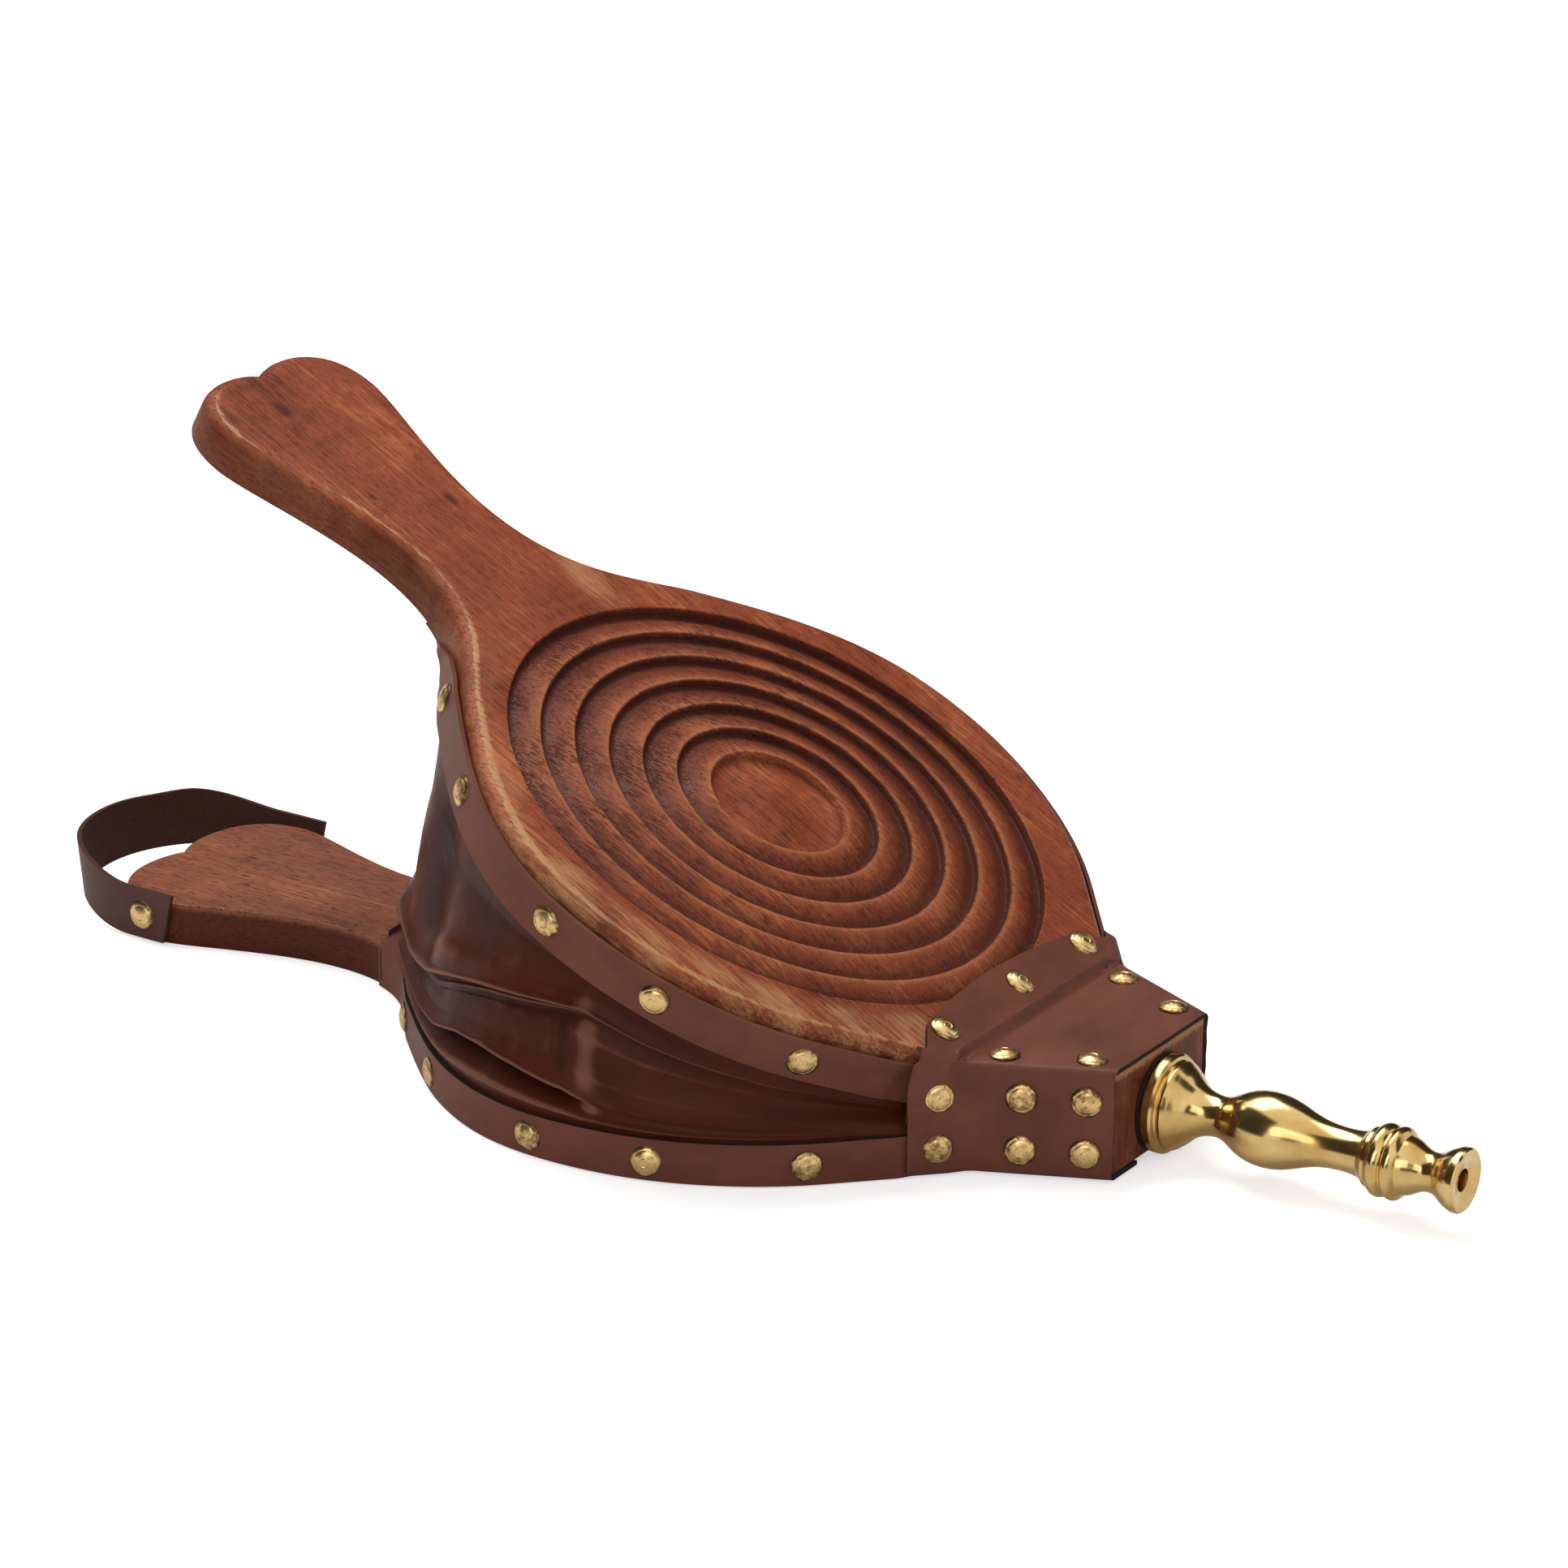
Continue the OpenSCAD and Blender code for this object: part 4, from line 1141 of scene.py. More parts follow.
def build_hinge_strip():
    """The leather over the hinge: flat on the board, ridged, then down into the valley."""
    reach = TANGENT_SUM - 94.5   # half length, to where it folds over the 45 degree edge
    flat_share = 8 / 18          # share of the rows that lie on the board
    bend_end = 0.4               # share of the rest in which a wing turns down over the edge
    foot_z = 17                  # how low the wings reach
    length_mm, width_mm = 106, 24   # of its map
    lift = UPPER_TOP + mm("leather") + 0.05

    def place(u, v):
        y = mix(-reach, reach, u)
        far = abs(y)
        rear = HINGE.x - 19.5 + 0.0022 * far * far + 5.0 * ramp(far, 40, reach)
        over = ramp(far, NOSE_HALF - 3, NOSE_HALF + 4)
        front = mix(HINGE.x - 3.6, TANGENT_SUM - far - 0.6, over)
        rear = min(rear, front - 1.5)
        if v <= flat_share:
            x = mix(rear, front, v / flat_share)
            z = lift + 0.25 * bump(x, front, 2.2) + 0.12 * noise.noise(Vector((x * 0.2, y * 0.1, 1)))
            return opened(Vector((x, y, z)))
        t = (v - flat_share) / (1 - flat_share)
        sign = -1 if y < 0 else 1
        # Folded down over the board's edge, and on down the wrap's side till it lies in its face.
        bend = min(1, t / bend_end) * math.pi / 2
        r = 3.2
        away = (r + 1.1) * math.sin(bend) + 0.1
        n = Vector((math.sqrt(0.5), sign * math.sqrt(0.5), 0))
        edge = Vector((front, y, lift - r * (1 - math.cos(bend)))) + n * away
        folded = opened(edge)
        if t > bend_end:
            down = (t - bend_end) / (1 - bend_end)
            low = Vector((TANGENT_SUM - far, y, foot_z)) + n * (WRAP_STAND + 0.12)
            near = folded.lerp(low, 1 - (1 - down) ** 2) - n * (1.4 * ramp(t, 0.84, 1))
            folded = Vector((near.x, near.y, mix(folded.z, foot_z, down)))
        # The wing's rear edge runs back as it goes down, to end on the wrap's own rear edge.
        back = 3.9 * ramp(t, 0.20, 0.72) * ramp(far, NOSE_HALF + 2, reach)
        folded = folded + Vector((-n.x, n.y, 0)) * back
        # Down the slope into the valley, and up onto the block's wrap.
        rest = opened(Vector((front, y, lift)))
        valley = [(0, 0, 0.25), (0.12, 0.5, 0.15), (0.26, 1.0, -0.45), (0.5, 1.7, -1.5),
                  (0.7, 2.3, -2.2), (0.86, 3.1, -2.7), (1, 4.0, -2.9)]
        dx = along_line(t, [(a, b) for a, b, c in valley])
        dz = along_line(t, [(a, c) for a, b, c in valley])
        hinge = Vector((rest.x + dx, y, rest.z + dz))
        wrinkle = 0.5 * bump(far, NOSE_HALF - 4, 3.0) * math.sin(9 * t)
        hinge.z += wrinkle * (1 - over)
        return hinge.lerp(folded, over)
    piece = sheet_grid("hinge_leather", 106, 34, place, (length_mm, width_mm))
    # The strip's bends drive painted shade in its valley and a painted highlight on its ridge.
    mark_creases(piece, 6)
    thicken(piece, mm("leather"), turned=True)
    smooth(piece, 60)
    finish(piece, None, brown_leather(), ["hinge_strip"], raw_leather())
    # Its front edge and its ends are finished like its face.
    near_edge = 0.1
    plain_rim(piece, lambda uv: uv.y > (width_mm - near_edge) * MM
              or not near_edge * MM < uv.x < (length_mm - near_edge) * MM)
    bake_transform(piece)


# ---- Valve ----

def build_valve():
    """The intake's flap, and the hem that holds it down, of soft leather."""
    flap_low, flap_high = corners("valve_flap")
    hem_low, hem_high = corners("valve_hem")
    thick = flap_high.z - flap_low.z
    radius = flap_high.y

    def flap(u, v):
        y = mix(-radius, radius, v)
        tip = -math.sqrt(max(0.0, radius * radius - y * y))
        x = mix(tip, flap_high.x, u)
        return Vector((x, y, flap_high.z + 0.15 * noise.noise(Vector((x * 0.1, y * 0.1, 0)))))
    piece = sheet_grid("valve_leather", 30, 30, flap, (42, 40))
    thicken(piece, thick - 0.15)
    tidy_mesh(piece, 50)
    finish(piece, "valve", soft_leather(), ["valve_flap"], raw_leather())

    def hem(u, v):
        x, y = mix(hem_low.x, hem_high.x, u), mix(hem_low.y, hem_high.y, v)
        dip = 0.2 * sum(bump(y, spot, 3) for spot in (-14, 0, 14)) * bump(x, hem_low.x + 5.5, 3)
        return Vector((x, y, hem_high.z - dip))
    piece = sheet_grid("valve_hem_leather", 12, 40, hem, (10, 40))
    thicken(piece, thick - 0.1)
    smooth(piece, 50)
    finish(piece, "base", soft_leather(), ["valve_hem"], raw_leather())


# ---- Hanging strap ----

def strap_line():
    """Centre line of the strap's outer face in plan, from the near end round to the far end."""
    inside = mm("lobe_width") / 2 + 0.3
    reach = -STRAP_LOW.x
    pin = -mm("handle_length") + 18.5
    turn = pin - 4
    out = inside + mm("strap_thickness")
    deep = reach + turn
    half = [Vector((pin + 9.9, out)), Vector((pin + 5, out)), Vector((pin, out))]
    half += [Vector((turn - deep * math.sin(math.radians(a)), out * math.cos(math.radians(a))))
             for a in range(0, 91, 5)]
    return [Vector((p.x, -p.y)) for p in half] + half[-2::-1]


def build_strap():
    line = strap_line()
    lengths = [0]
    for a, b in zip(line, line[1:]):
        lengths.append(lengths[-1] + (b - a).length)
    total = lengths[-1]
    width = mm("strap_width")
    middle = 9.1   # height of the strap's middle line at its tacks

    def place(u, v):
        s = u * total
        i = max(k for k in range(len(line) - 1) if lengths[k] <= s + 1e-9)
        t = (s - lengths[i]) / (lengths[i + 1] - lengths[i])
        p = line[i].lerp(line[i + 1], t)
        tangent = (line[i + 1] - line[i]).normalized()
        out = Vector((tangent.y, -tangent.x))
        end = min(s, total - s)
        free = ramp(end, 16, 50)
        h = (v - 0.5) * width * (1 + 0.12 * free)
        lean = free * (-1.1 * (v - 0.5) * 2)
        crease = 1.6 * bump(s, 0.62 * total, 9) * free * (v - 0.2)
        p = p + out * (lean * 0.8 - 0.8 * free + crease)
        sag = 0.5 * free * math.sin(math.pi * u)
        slant = 3.6 * (v - 0.5) * bump(end, 0, 7)
        return Vector((p.x + slant, p.y, middle + h - sag * 0.3 + 4.4 * free))
    piece = sheet_grid("strap_leather", 150, 10, place, (total, width))
    thicken(piece, mm("strap_thickness"), turned=True)
    smooth(piece, 50)
    finish(piece, "strap", strap_leather(), ["hanging_strap"], strap_flesh())


# ---- Materials ----

NOISE, CELLS, PLACE = "ShaderNodeTexNoise", "ShaderNodeTexVoronoi", "ShaderNodeMapping"
MATH, VECTOR, RANGE = "ShaderNodeMath", "ShaderNodeVectorMath", "ShaderNodeMapRange"
MIX, RAMP, SPLIT = "ShaderNodeMix", "ShaderNodeValToRGB", "ShaderNodeSeparateXYZ"
READ, WHERE, BUMP = "ShaderNodeAttribute", "ShaderNodeTexCoord", "ShaderNodeBump"
SUM = {"operation": "MULTIPLY_ADD"}          # first times second, plus third
TIMES = {"operation": "MULTIPLY"}
BLEND = {"out": 2, "data_type": "RGBA"}      # colours 6 and 7 by factor 0
EASED = {"interpolation_type": "SMOOTHSTEP"}


def add(tree, kind, inputs, out=0, stops=(), **settings):
    """Adds a node with its settings, its inputs as values or links, and a ramp's stops."""
    made = tree.nodes.new(kind)
    for key, value in settings.items():
        setattr(made, key, value)
    for key, value in inputs.items():
        if isinstance(value, bpy.types.NodeSocket):
            tree.links.new(value, made.inputs[key])
        else:
            made.inputs[key].default_value = value
    for i, (position, value) in enumerate(stops):
        elements = made.color_ramp.elements
        element = elements[i] if i < len(elements) else elements.new(position)
        element.position = position
        element.color = value if hasattr(value, "__len__") else (value, value, value, 1)
    return made.outputs[out]


def new_material(name):
    """A material with a principled shader: the material, its tree and the shader node."""
    material = bpy.data.materials.new(name)
    material.use_nodes = True
    tree = material.node_tree
    return material, tree, tree.nodes["Principled BSDF"]


def pattern(tree, flat, marks, detail, roughness=0.55, distortion=0.0):
    """Inputs of a noise whose marks have this size along each axis, in millimetres."""
    sized = add(tree, PLACE, {0: flat, 3: tuple(1 / size for size in marks)})
    return {"Vector": sized, "Scale": 1.0, "Detail": detail, "Roughness": roughness,
            "Distortion": distortion}


def span(value, low, high, to_low=0.0, to_high=1.0):
    """Inputs that take a value from one range to another."""
    return {"Value": value, "From Min": low, "From Max": high, "To Min": to_low, "To Max": to_high}


def opaque(code):
    """sRGB hex as a linear colour with full alpha."""
    return (*tone(code), 1)


def faded(rgba, share):
    """A colour at a share of its brightness."""
    return (*(min(1, c * share) for c in rgba[:3]), 1)


def give(tree, shader, links=None, **values):
    """Links and plain values of the shader's own sockets; underscores stand for spaces."""
    for key, socket in (links or {}).items():
        tree.links.new(socket, shader.inputs[key])
    for key, value in values.items():
        shader.inputs[key.replace("_", " ")].default_value = value


def board_space(tree, turn):
    """Object coordinates in millimetres from the hinge, along the board's own axes."""
    parts = {"Vector": add(tree, WHERE, {}, "Object"), "Location": tuple(HINGE * MM),
             "Rotation": (0, turn, 0), "Scale": (MM, MM, MM)}
    return add(tree, PLACE, parts, vector_type="TEXTURE")


def from_centre(tree, flat):
    """Board coordinates from the middle of its round part, and the distance from there."""
    centred = add(tree, PLACE, {0: flat, 1: (HINGE.x, 0, 0), 3: (1, 1, 0)})
    return centred, add(tree, VECTOR, {0: centred}, "Value", operation="LENGTH")


def in_millimetres(tree, space):
    """The piece's own Object or UV coordinates, in millimetres."""
    return add(tree, PLACE, {0: add(tree, WHERE, {}, space), 3: (1 / MM, 1 / MM, 1 / MM)})


def relief(height, depth, strength=0.8):
    """Inputs of a bump that is depth millimetres deep."""
    return {"Height": height, "Distance": depth * MM, "Strength": strength}


def stained_wood(part, carved):
    """Mahogany-type hardwood, sawn, routed and rubbed with a red-brown stain, then waxed.

    The eye sees mottled red-brown with short open pores along the board, stain and painted
    shade lying dark in the grooves, a painted highlight on the carved crests, sides darker
    and redder from stain and painted shade, rubbed pale on the handled edges, and a satin gloss.
    """
    material, tree, shader = new_material(f"{part} board, stained hardwood, waxed")
    flat = board_space(tree, bpy.context.scene.bellows_sizes.rest_open if carved else 0.0)
    axes = add(tree, SPLIT, {0: flat}, "Z")
    mottle = add(tree, NOISE, pattern(tree, flat, (58, 30, 30), 3, 0.5))
    curl = add(tree, NOISE, pattern(tree, flat, (9, 30, 30), 3, 0.6, 0.9))
    streaks = add(tree, NOISE, pattern(tree, flat, (34, 1.5, 1.5), 4, 0.62))
    # The pores are drawn 0.5 mm wide, about twice their real width, so that they show.
    pores = add(tree, NOISE, pattern(tree, flat, (4.6, 0.5, 0.5), 2))
    pore = add(tree, RANGE, span(pores, 0.57, 0.68), **EASED)
    figure = add(tree, MATH, {0: mottle, 1: 0.44, 2: 0.0}, **SUM)
    figure = add(tree, MATH, {0: curl, 1: 0.20, 2: figure}, **SUM)
    figure = add(tree, MATH, {0: streaks, 1: 0.36, 2: figure}, **SUM)
    base = add(tree, RAMP, {0: figure}, stops=[
        (0.37, shade("wood_dark")), (0.46, faded(shade("wood"), 0.86)), (0.53, shade("wood")),
        (0.62, shade("wood_light"))])
    if not carved:
        # The lower handle is less polished: its stain has greyed.
        base = add(tree, MIX, {0: 0.3, 6: base, 7: opaque("#7F6554")}, **BLEND)
    filled = add(tree, MATH, {0: pore, 1: 0.5 if carved else 0.7}, **TIMES)
    base = add(tree, MIX, {0: filled, 6: base, 7: shade("wood_pore")}, **BLEND)
    # The sides below the face are darkened and reddened: partly the edge grain taking the stain
    # deeper, partly painted shade on the sides.
    face = -2.2 if carved else BOARD_T - HINGE.z - 0.6
    side = add(tree, RANGE, span(axes, face, face - 2.0), **EASED)
    if carved:
        # The dish lies as deep as the sides, but shows the face's own grain.
        away = from_centre(tree, flat)[1]
        dish = mm("ring_radius") - bpy.context.scene.bellows_sizes.ring_count * mm("ring_pitch")
        outside = add(tree, RANGE, span(away, dish - 2.5, dish))
        side = add(tree, MATH, {0: side, 1: outside}, **TIMES)
    stain = add(tree, MATH, {0: side, 1: 0.50 if carved else 0.88}, **TIMES)
    base = add(tree, MIX, {0: stain, 6: base, 7: opaque("#4E1D0E")}, **BLEND)
    height = add(tree, MATH, {0: streaks, 1: 0.5}, **TIMES)
    height = add(tree, MATH, {0: pore, 1: -1.0, 2: height}, **SUM)
    if carved:
        base, height = carve_finish(tree, flat, rub_margin(tree, flat, base), height)
    base = rub_edges(tree, flat, side, base, 0.85 if carved else 0.25)
    base = knots(tree, flat, base, carved)
    gloss = add(tree, RANGE, span(streaks, 0.3, 0.7, 0.38, 0.54))
    give(tree, shader, {"Base Color": base, "Roughness": gloss,
                        "Normal": add(tree, BUMP, relief(height, 0.25))},
         IOR=1.5, Specular_IOR_Level=0.15)
    return material


def rub_edges(tree, flat, side, base, amount):
    """Edges where hands have rubbed the stain away, in broken patches along the grain."""
    wear = add(tree, READ, {}, "Fac", attribute_name="wear")
    broken = add(tree, NOISE, pattern(tree, flat, (7, 1.3, 1.3), 5, 0.72))
    patches = add(tree, NOISE, pattern(tree, flat, (55, 30, 30), 2))
    # The side that is held against the body keeps more of its stain.
    held = add(tree, RANGE, span(add(tree, SPLIT, {0: flat}, "Y"), 40, -55, -0.75, 0.20), **EASED)
    rub = add(tree, MATH, {0: broken, 1: 1.8, 2: wear}, **SUM)
    rub = add(tree, MATH, {0: patches, 1: 1.1, 2: rub}, **SUM)
    rub = add(tree, MATH, {0: rub, 1: held}, operation="ADD")
    bare = add(tree, RANGE, span(rub, 2.12, 2.55, 0.0, amount), **EASED)
    on_face = add(tree, RANGE, span(side, 0.0, 1.0, 1.0, 0.0))
    bare = add(tree, MATH, {0: bare, 1: on_face}, **TIMES)
    return add(tree, MIX, {0: bare, 6: base, 7: shade("wood_worn")}, **BLEND)


def rub_margin(tree, flat, base):
    """The near margin round the carving, and a scraped patch on the neck, rubbed pale in streaks."""
    centred, away = from_centre(tree, flat)
    radius = mm("ring_radius")
    rim = add(tree, RANGE, span(away, radius + 1.0, radius + 7.0), **EASED)
    near = add(tree, RANGE, span(add(tree, SPLIT, {0: centred}, "Y"), 0, -50), **EASED)
    ahead = add(tree, RANGE, span(add(tree, SPLIT, {0: centred}, "X"), -75, -10, 0.25, 1.0), **EASED)
    reach = add(tree, MATH, {0: rim, 1: near}, **TIMES)
    reach = add(tree, MATH, {0: reach, 1: ahead}, **TIMES)
    scrape = add(tree, PLACE, {0: centred, 1: (49, -27, 0), 3: (0.5, 1, 0)})
    scrape = add(tree, VECTOR, {0: scrape}, "Value", operation="LENGTH")
    scrape = add(tree, RANGE, span(scrape, 10, 3, 0.0, 0.9), **EASED)
    reach = add(tree, MATH, {0: reach, 1: scrape}, operation="MAXIMUM")
    streaks = add(tree, NOISE, pattern(tree, flat, (22, 1.3, 1.3), 5, 0.75))
    cloud = add(tree, NOISE, pattern(tree, flat, (24, 12, 12), 3))
    rubbed = add(tree, MATH, {0: streaks, 1: 1.0, 2: cloud}, **SUM)
    rubbed = add(tree, RANGE, span(rubbed, 0.84, 1.20, 0.0, 0.66), **EASED)
    rubbed = add(tree, MATH, {0: rubbed, 1: reach}, **TIMES)
    return add(tree, MIX, {0: rubbed, 6: base, 7: shade("wood_worn")}, **BLEND)


def carve_finish(tree, flat, base, height):
    """Colour in the routed rings: each groove dark with stain and painted shade, torn across the
    grain, and a painted highlight on each crest.
    """
    radius, pitch = mm("ring_radius"), mm("ring_pitch")
    count = bpy.context.scene.bellows_sizes.ring_count
    centred, away = from_centre(tree, flat)
    wobble = add(tree, NOISE, pattern(tree, flat, (7, 3, 7), 3))
    spread = add(tree, MATH, {0: wobble, 1: 0.8, 2: away}, **SUM)
    turns = add(tree, RANGE, span(spread, radius + 0.4, radius + 0.4 - pitch), clamp=False)
    ringed = add(tree, MATH, {0: turns, 1: count / 2, 2: count / 2}, operation="COMPARE")
    phase = add(tree, MATH, {0: turns}, operation="FRACT")
    groove = add(tree, RAMP, {0: phase}, stops=[
        (0.0, 0.62), (0.06, 0.85), (0.13, 0.74), (0.24, 0.36), (0.45, 0.18), (0.74, 0.04), (0.94, 0.0),
        (1.0, 0.45)])
    crest = add(tree, RAMP, {0: phase}, stops=[
        (0.0, 0.0), (0.62, 0.0), (0.82, 0.20), (0.93, 0.75), (0.97, 0.5), (1.0, 0.0)])
    torn = add(tree, NOISE, pattern(tree, flat, (6, 0.8, 0.8), 3, 0.7))
    torn = add(tree, RANGE, span(torn, 0.48, 0.62), **EASED)
    patch = add(tree, NOISE, pattern(tree, flat, (16, 26, 22), 3))
    patch = add(tree, RANGE, span(patch, 0.38, 0.58, 0.0, 0.85), **EASED)
    # The cutter tore the grain most on the handle's side.
    rearward = add(tree, RANGE, span(add(tree, SPLIT, {0: centred}, "X"), 70, -40, 0.25, 1.0))
    patch = add(tree, MATH, {0: patch, 1: rearward}, **TIMES)
    tear = add(tree, MATH, {0: torn, 1: patch}, **TIMES)
    tear = add(tree, MATH, {0: tear, 1: ringed}, **TIMES)
    # The groove's dark is stain lying in it and painted shade; the crest's pale line is a painted
    # highlight.
    dark = add(tree, MATH, {0: groove, 1: ringed}, **TIMES)
    pale = add(tree, MATH, {0: crest, 1: ringed}, **TIMES)
    base = add(tree, MIX, {0: dark, 6: base, 7: opaque("#3F1B12")}, **BLEND)
    base = add(tree, MIX, {0: pale, 6: base, 7: opaque("#B26C45")}, **BLEND)
    base = add(tree, MIX, {0: tear, 6: base, 7: opaque("#3E1D17")}, **BLEND)
    return base, add(tree, MATH, {0: tear, 1: -0.9, 2: height}, **SUM)


def knots(tree, flat, base, carved):
    """A few pin knots and a dark smudge on the handles."""
    spots = [(-250, 12, 2.4), (-262, -14, 1.5), (-305, -9, 3.2)] if carved else [(-300, 8, 1.2)]
    for x, y, size in spots:
        squeezed = add(tree, PLACE, {0: flat, 1: (-0.5 * x, -y, 0), 3: (0.5, 1, 0)})
        away = add(tree, VECTOR, {0: squeezed}, "Value", operation="LENGTH")
        near = add(tree, RANGE, span(away, size, size * 0.3, 0.0, 0.65), **EASED)
        base = add(tree, MIX, {0: near, 6: base, 7: shade("wood_pore")}, **BLEND)
    return base


def end_wood():
    """The block's hardwood, sawn upright and stained: fine upright grain, paler in streaks along the
    grain towards its top.
    """
    material, tree, shader = new_material("nose block, stained hardwood, sawn")
    flat = board_space(tree, 0.0)
    grain = add(tree, NOISE, pattern(tree, flat, (1.3, 1.1, 26), 5, 0.6))
    pores = add(tree, NOISE, pattern(tree, flat, (0.6, 0.55, 5), 2))
    tint = add(tree, NOISE, pattern(tree, flat, (14, 12, 20), 3))
    base = add(tree, RAMP, {0: tint}, stops=[
        (0.34, opaque("#5C2718")), (0.5, opaque("#743722")), (0.68, opaque("#95573C"))])
    streak = add(tree, RANGE, span(grain, 0.46, 0.70, 0.0, 0.65), **EASED)
    base = add(tree, MIX, {0: streak, 6: base, 7: shade("wood_dark")}, **BLEND)
    pore = add(tree, RANGE, span(pores, 0.57, 0.69, 0.0, 0.6), **EASED)
    base = add(tree, MIX, {0: pore, 6: base, 7: shade("wood_pore")}, **BLEND)
    top = BLOCK_TOP - HINGE.z
    # Paler in streaks along the grain towards the block's top.
    wear = add(tree, RANGE, span(add(tree, SPLIT, {0: flat}, "Z"), top - 4, top - 0.5))
    rub = add(tree, MATH, {0: grain, 1: 1.0, 2: wear}, **SUM)
    bare = add(tree, RANGE, span(rub, 0.8, 1.3, 0.0, 0.65), **EASED)
    base = add(tree, MIX, {0: bare, 6: base, 7: shade("wood_worn")}, **BLEND)
    height = add(tree, MATH, {0: pore, 1: -1.5, 2: grain}, **SUM)
    give(tree, shader, {"Base Color": base,
                        "Normal": add(tree, BUMP, relief(height, 0.25))},
         Roughness=0.6, IOR=1.5, Specular_IOR_Level=0.3)
    return material


def hide(name, face, rough, grain, creased=False, gloss=0.15):
    """Pigment-finished hide: an even brown film over a fine pebbled grain, with a soft sheen.

    rough is the film's roughness and grain the depth of its pebbles in millimetres. A
    creased hide has painted shade in its creases and deep folds and a painted highlight
    on its ridges.
    """
    material, tree, shader = new_material(name)
    flat = in_millimetres(tree, "UV")
    # The pebbles are 0.9 mm across, about twice the real grain, so that they show.
    pebbles = add(tree, CELLS, {"Vector": flat, "Scale": 1 / 0.9}, "Distance", feature="SMOOTH_F1")
    drift = add(tree, NOISE, pattern(tree, flat, (34, 20, 20), 3))
    scuffs = add(tree, NOISE, pattern(tree, flat, (3.4, 1.1, 1.1), 4, 0.7))
    base = add(tree, RAMP, {0: drift}, stops=[
        (0.32, faded(face, 0.78)), (0.5, face), (0.70, faded(face, 1.2))])
    scuffed = add(tree, RANGE, span(scuffs, 0.62, 0.78, 0.0, 0.22), **EASED)
    base = add(tree, MIX, {0: scuffed, 6: base, 7: opaque("#7B5748")}, **BLEND)
    if creased:
        crease = add(tree, READ, {}, "Fac", attribute_name="crease")
        # Painted shade in the creases: the face darkened towards a third of its colour.
        sunk = add(tree, RANGE, span(crease, -0.08, -0.7, 0.0, 0.65), **EASED)
        base = add(tree, MIX, {0: sunk, 6: base, 7: faded(face, 0.3)}, **BLEND)
        # Painted highlight on the ridges: the face lightened towards a paler brown.
        ridge_highlight = add(tree, RANGE, span(crease, 0.14, 0.9, 0.0, 0.6), **EASED)
        base = add(tree, MIX, {0: ridge_highlight, 6: base, 7: opaque("#8A5B4B")}, **BLEND)
        # Painted shade: the leather that lies deep in a fold is darkened towards a third of its
        # colour.
        depth = add(tree, READ, {}, "Fac", attribute_name="sunk")
        fold_shade = add(tree, RANGE, span(depth, 1.0, 5.5, 0.0, 0.80), **EASED)
        base = add(tree, MIX, {0: fold_shade, 6: base, 7: faded(face, 0.3)}, **BLEND)
    ripples = add(tree, NOISE, pattern(tree, flat, (7, 5, 5), 3))
    height = add(tree, MATH, {0: pebbles, 1: -0.6}, **TIMES)
    height = add(tree, MATH, {0: ripples, 1: 2.0, 2: height}, **SUM)
    film = add(tree, RANGE, span(drift, 0.3, 0.7, rough - 0.05, rough + 0.07))
    give(tree, shader, {"Base Color": base,
                        "Roughness": film,
                        "Normal": add(tree, BUMP, relief(height, grain, 0.7))},
         IOR=1.5, Specular_IOR_Level=gloss)
    return material


CACHE = {}


def shared(key, make):
    """One material of each kind for all its pieces."""
    if key not in CACHE:
        CACHE[key] = make()
    return CACHE[key]


def brown_leather():
    """Cowhide with a brown pigment finish: smooth, even, softly shining."""
    return shared("brown", lambda: hide("brown cowhide, pigmented", shade("leather"), 0.44, 0.09,
                                        True))


def gusset_leather():
    """Thin glazed sheepskin: darker, glossier, creased where it folds, with painted shade in its
    creases and folds and a painted highlight on its ridges.
    """
    return shared("gusset", lambda: hide("gusset sheepskin, glazed", shade("gusset"), 0.36, 0.07, True,
                                         0.09))


def strap_leather():
    """Cowhide strap, pigmented and handled: a little duller."""
    return shared("strap", lambda: hide("strap cowhide, pigmented", shade("strap"), 0.48, 0.10))


def soft_leather():
    """Vegetable-tanned flap leather without a finish: pale brown and matt."""
    return shared("soft", lambda: hide("valve leather, tanned, unfinished", opaque("#8A6242"),
                                       0.7, 0.12))


def flesh_side(name, face, fibre_tint):
    """Flesh side and cut edges of a hide: matt and short-fibred."""
    material, tree, shader = new_material(name)
    flat = in_millimetres(tree, "Object")
    fibre = add(tree, NOISE, pattern(tree, flat, (0.7, 0.7, 0.5), 4, 0.7))
    base = add(tree, RAMP, {0: fibre}, stops=[(0.35, face), (0.7, fibre_tint)])
    give(tree, shader, {"Base Color": base,
                        "Normal": add(tree, BUMP, relief(fibre, 0.2))},
         Roughness=0.88, IOR=1.5, Specular_IOR_Level=0.25)
    return material


def raw_leather():
    """Black-dyed flesh side and edges."""
    return shared("raw", lambda: flesh_side("leather flesh side, black dyed", shade("flesh"),
                                            opaque("#33251F")))


def strap_flesh():
    """Inside of the strap: brown flesh side, rubbed smooth."""
    return shared("strap flesh", lambda: flesh_side("strap flesh side, brown", opaque("#3E241C"),
                                                    opaque("#553527")))


def turned_brass():
    """Brass turned on a lathe and polished: mirror-like, warm yellow, with faint turning lines."""
    material, tree, shader = new_material("brass, turned and polished")
    flat = in_millimetres(tree, "Object")
    lines = add(tree, NOISE, pattern(tree, flat, (0.35, 40, 40), 2))
    film = add(tree, NOISE, pattern(tree, flat, (16, 10, 10), 3))
    base = add(tree, RAMP, {0: film}, stops=[(0.35, shade("brass")), (0.75, opaque("#C79C52"))])
    give(tree, shader, {"Base Color": base,
                        "Roughness": add(tree, RANGE, span(film, 0.3, 0.7, 0.13, 0.21)),
                        "Normal": add(tree, BUMP, relief(lines, 0.01, 0.3))},
         Metallic=1.0)
    return material


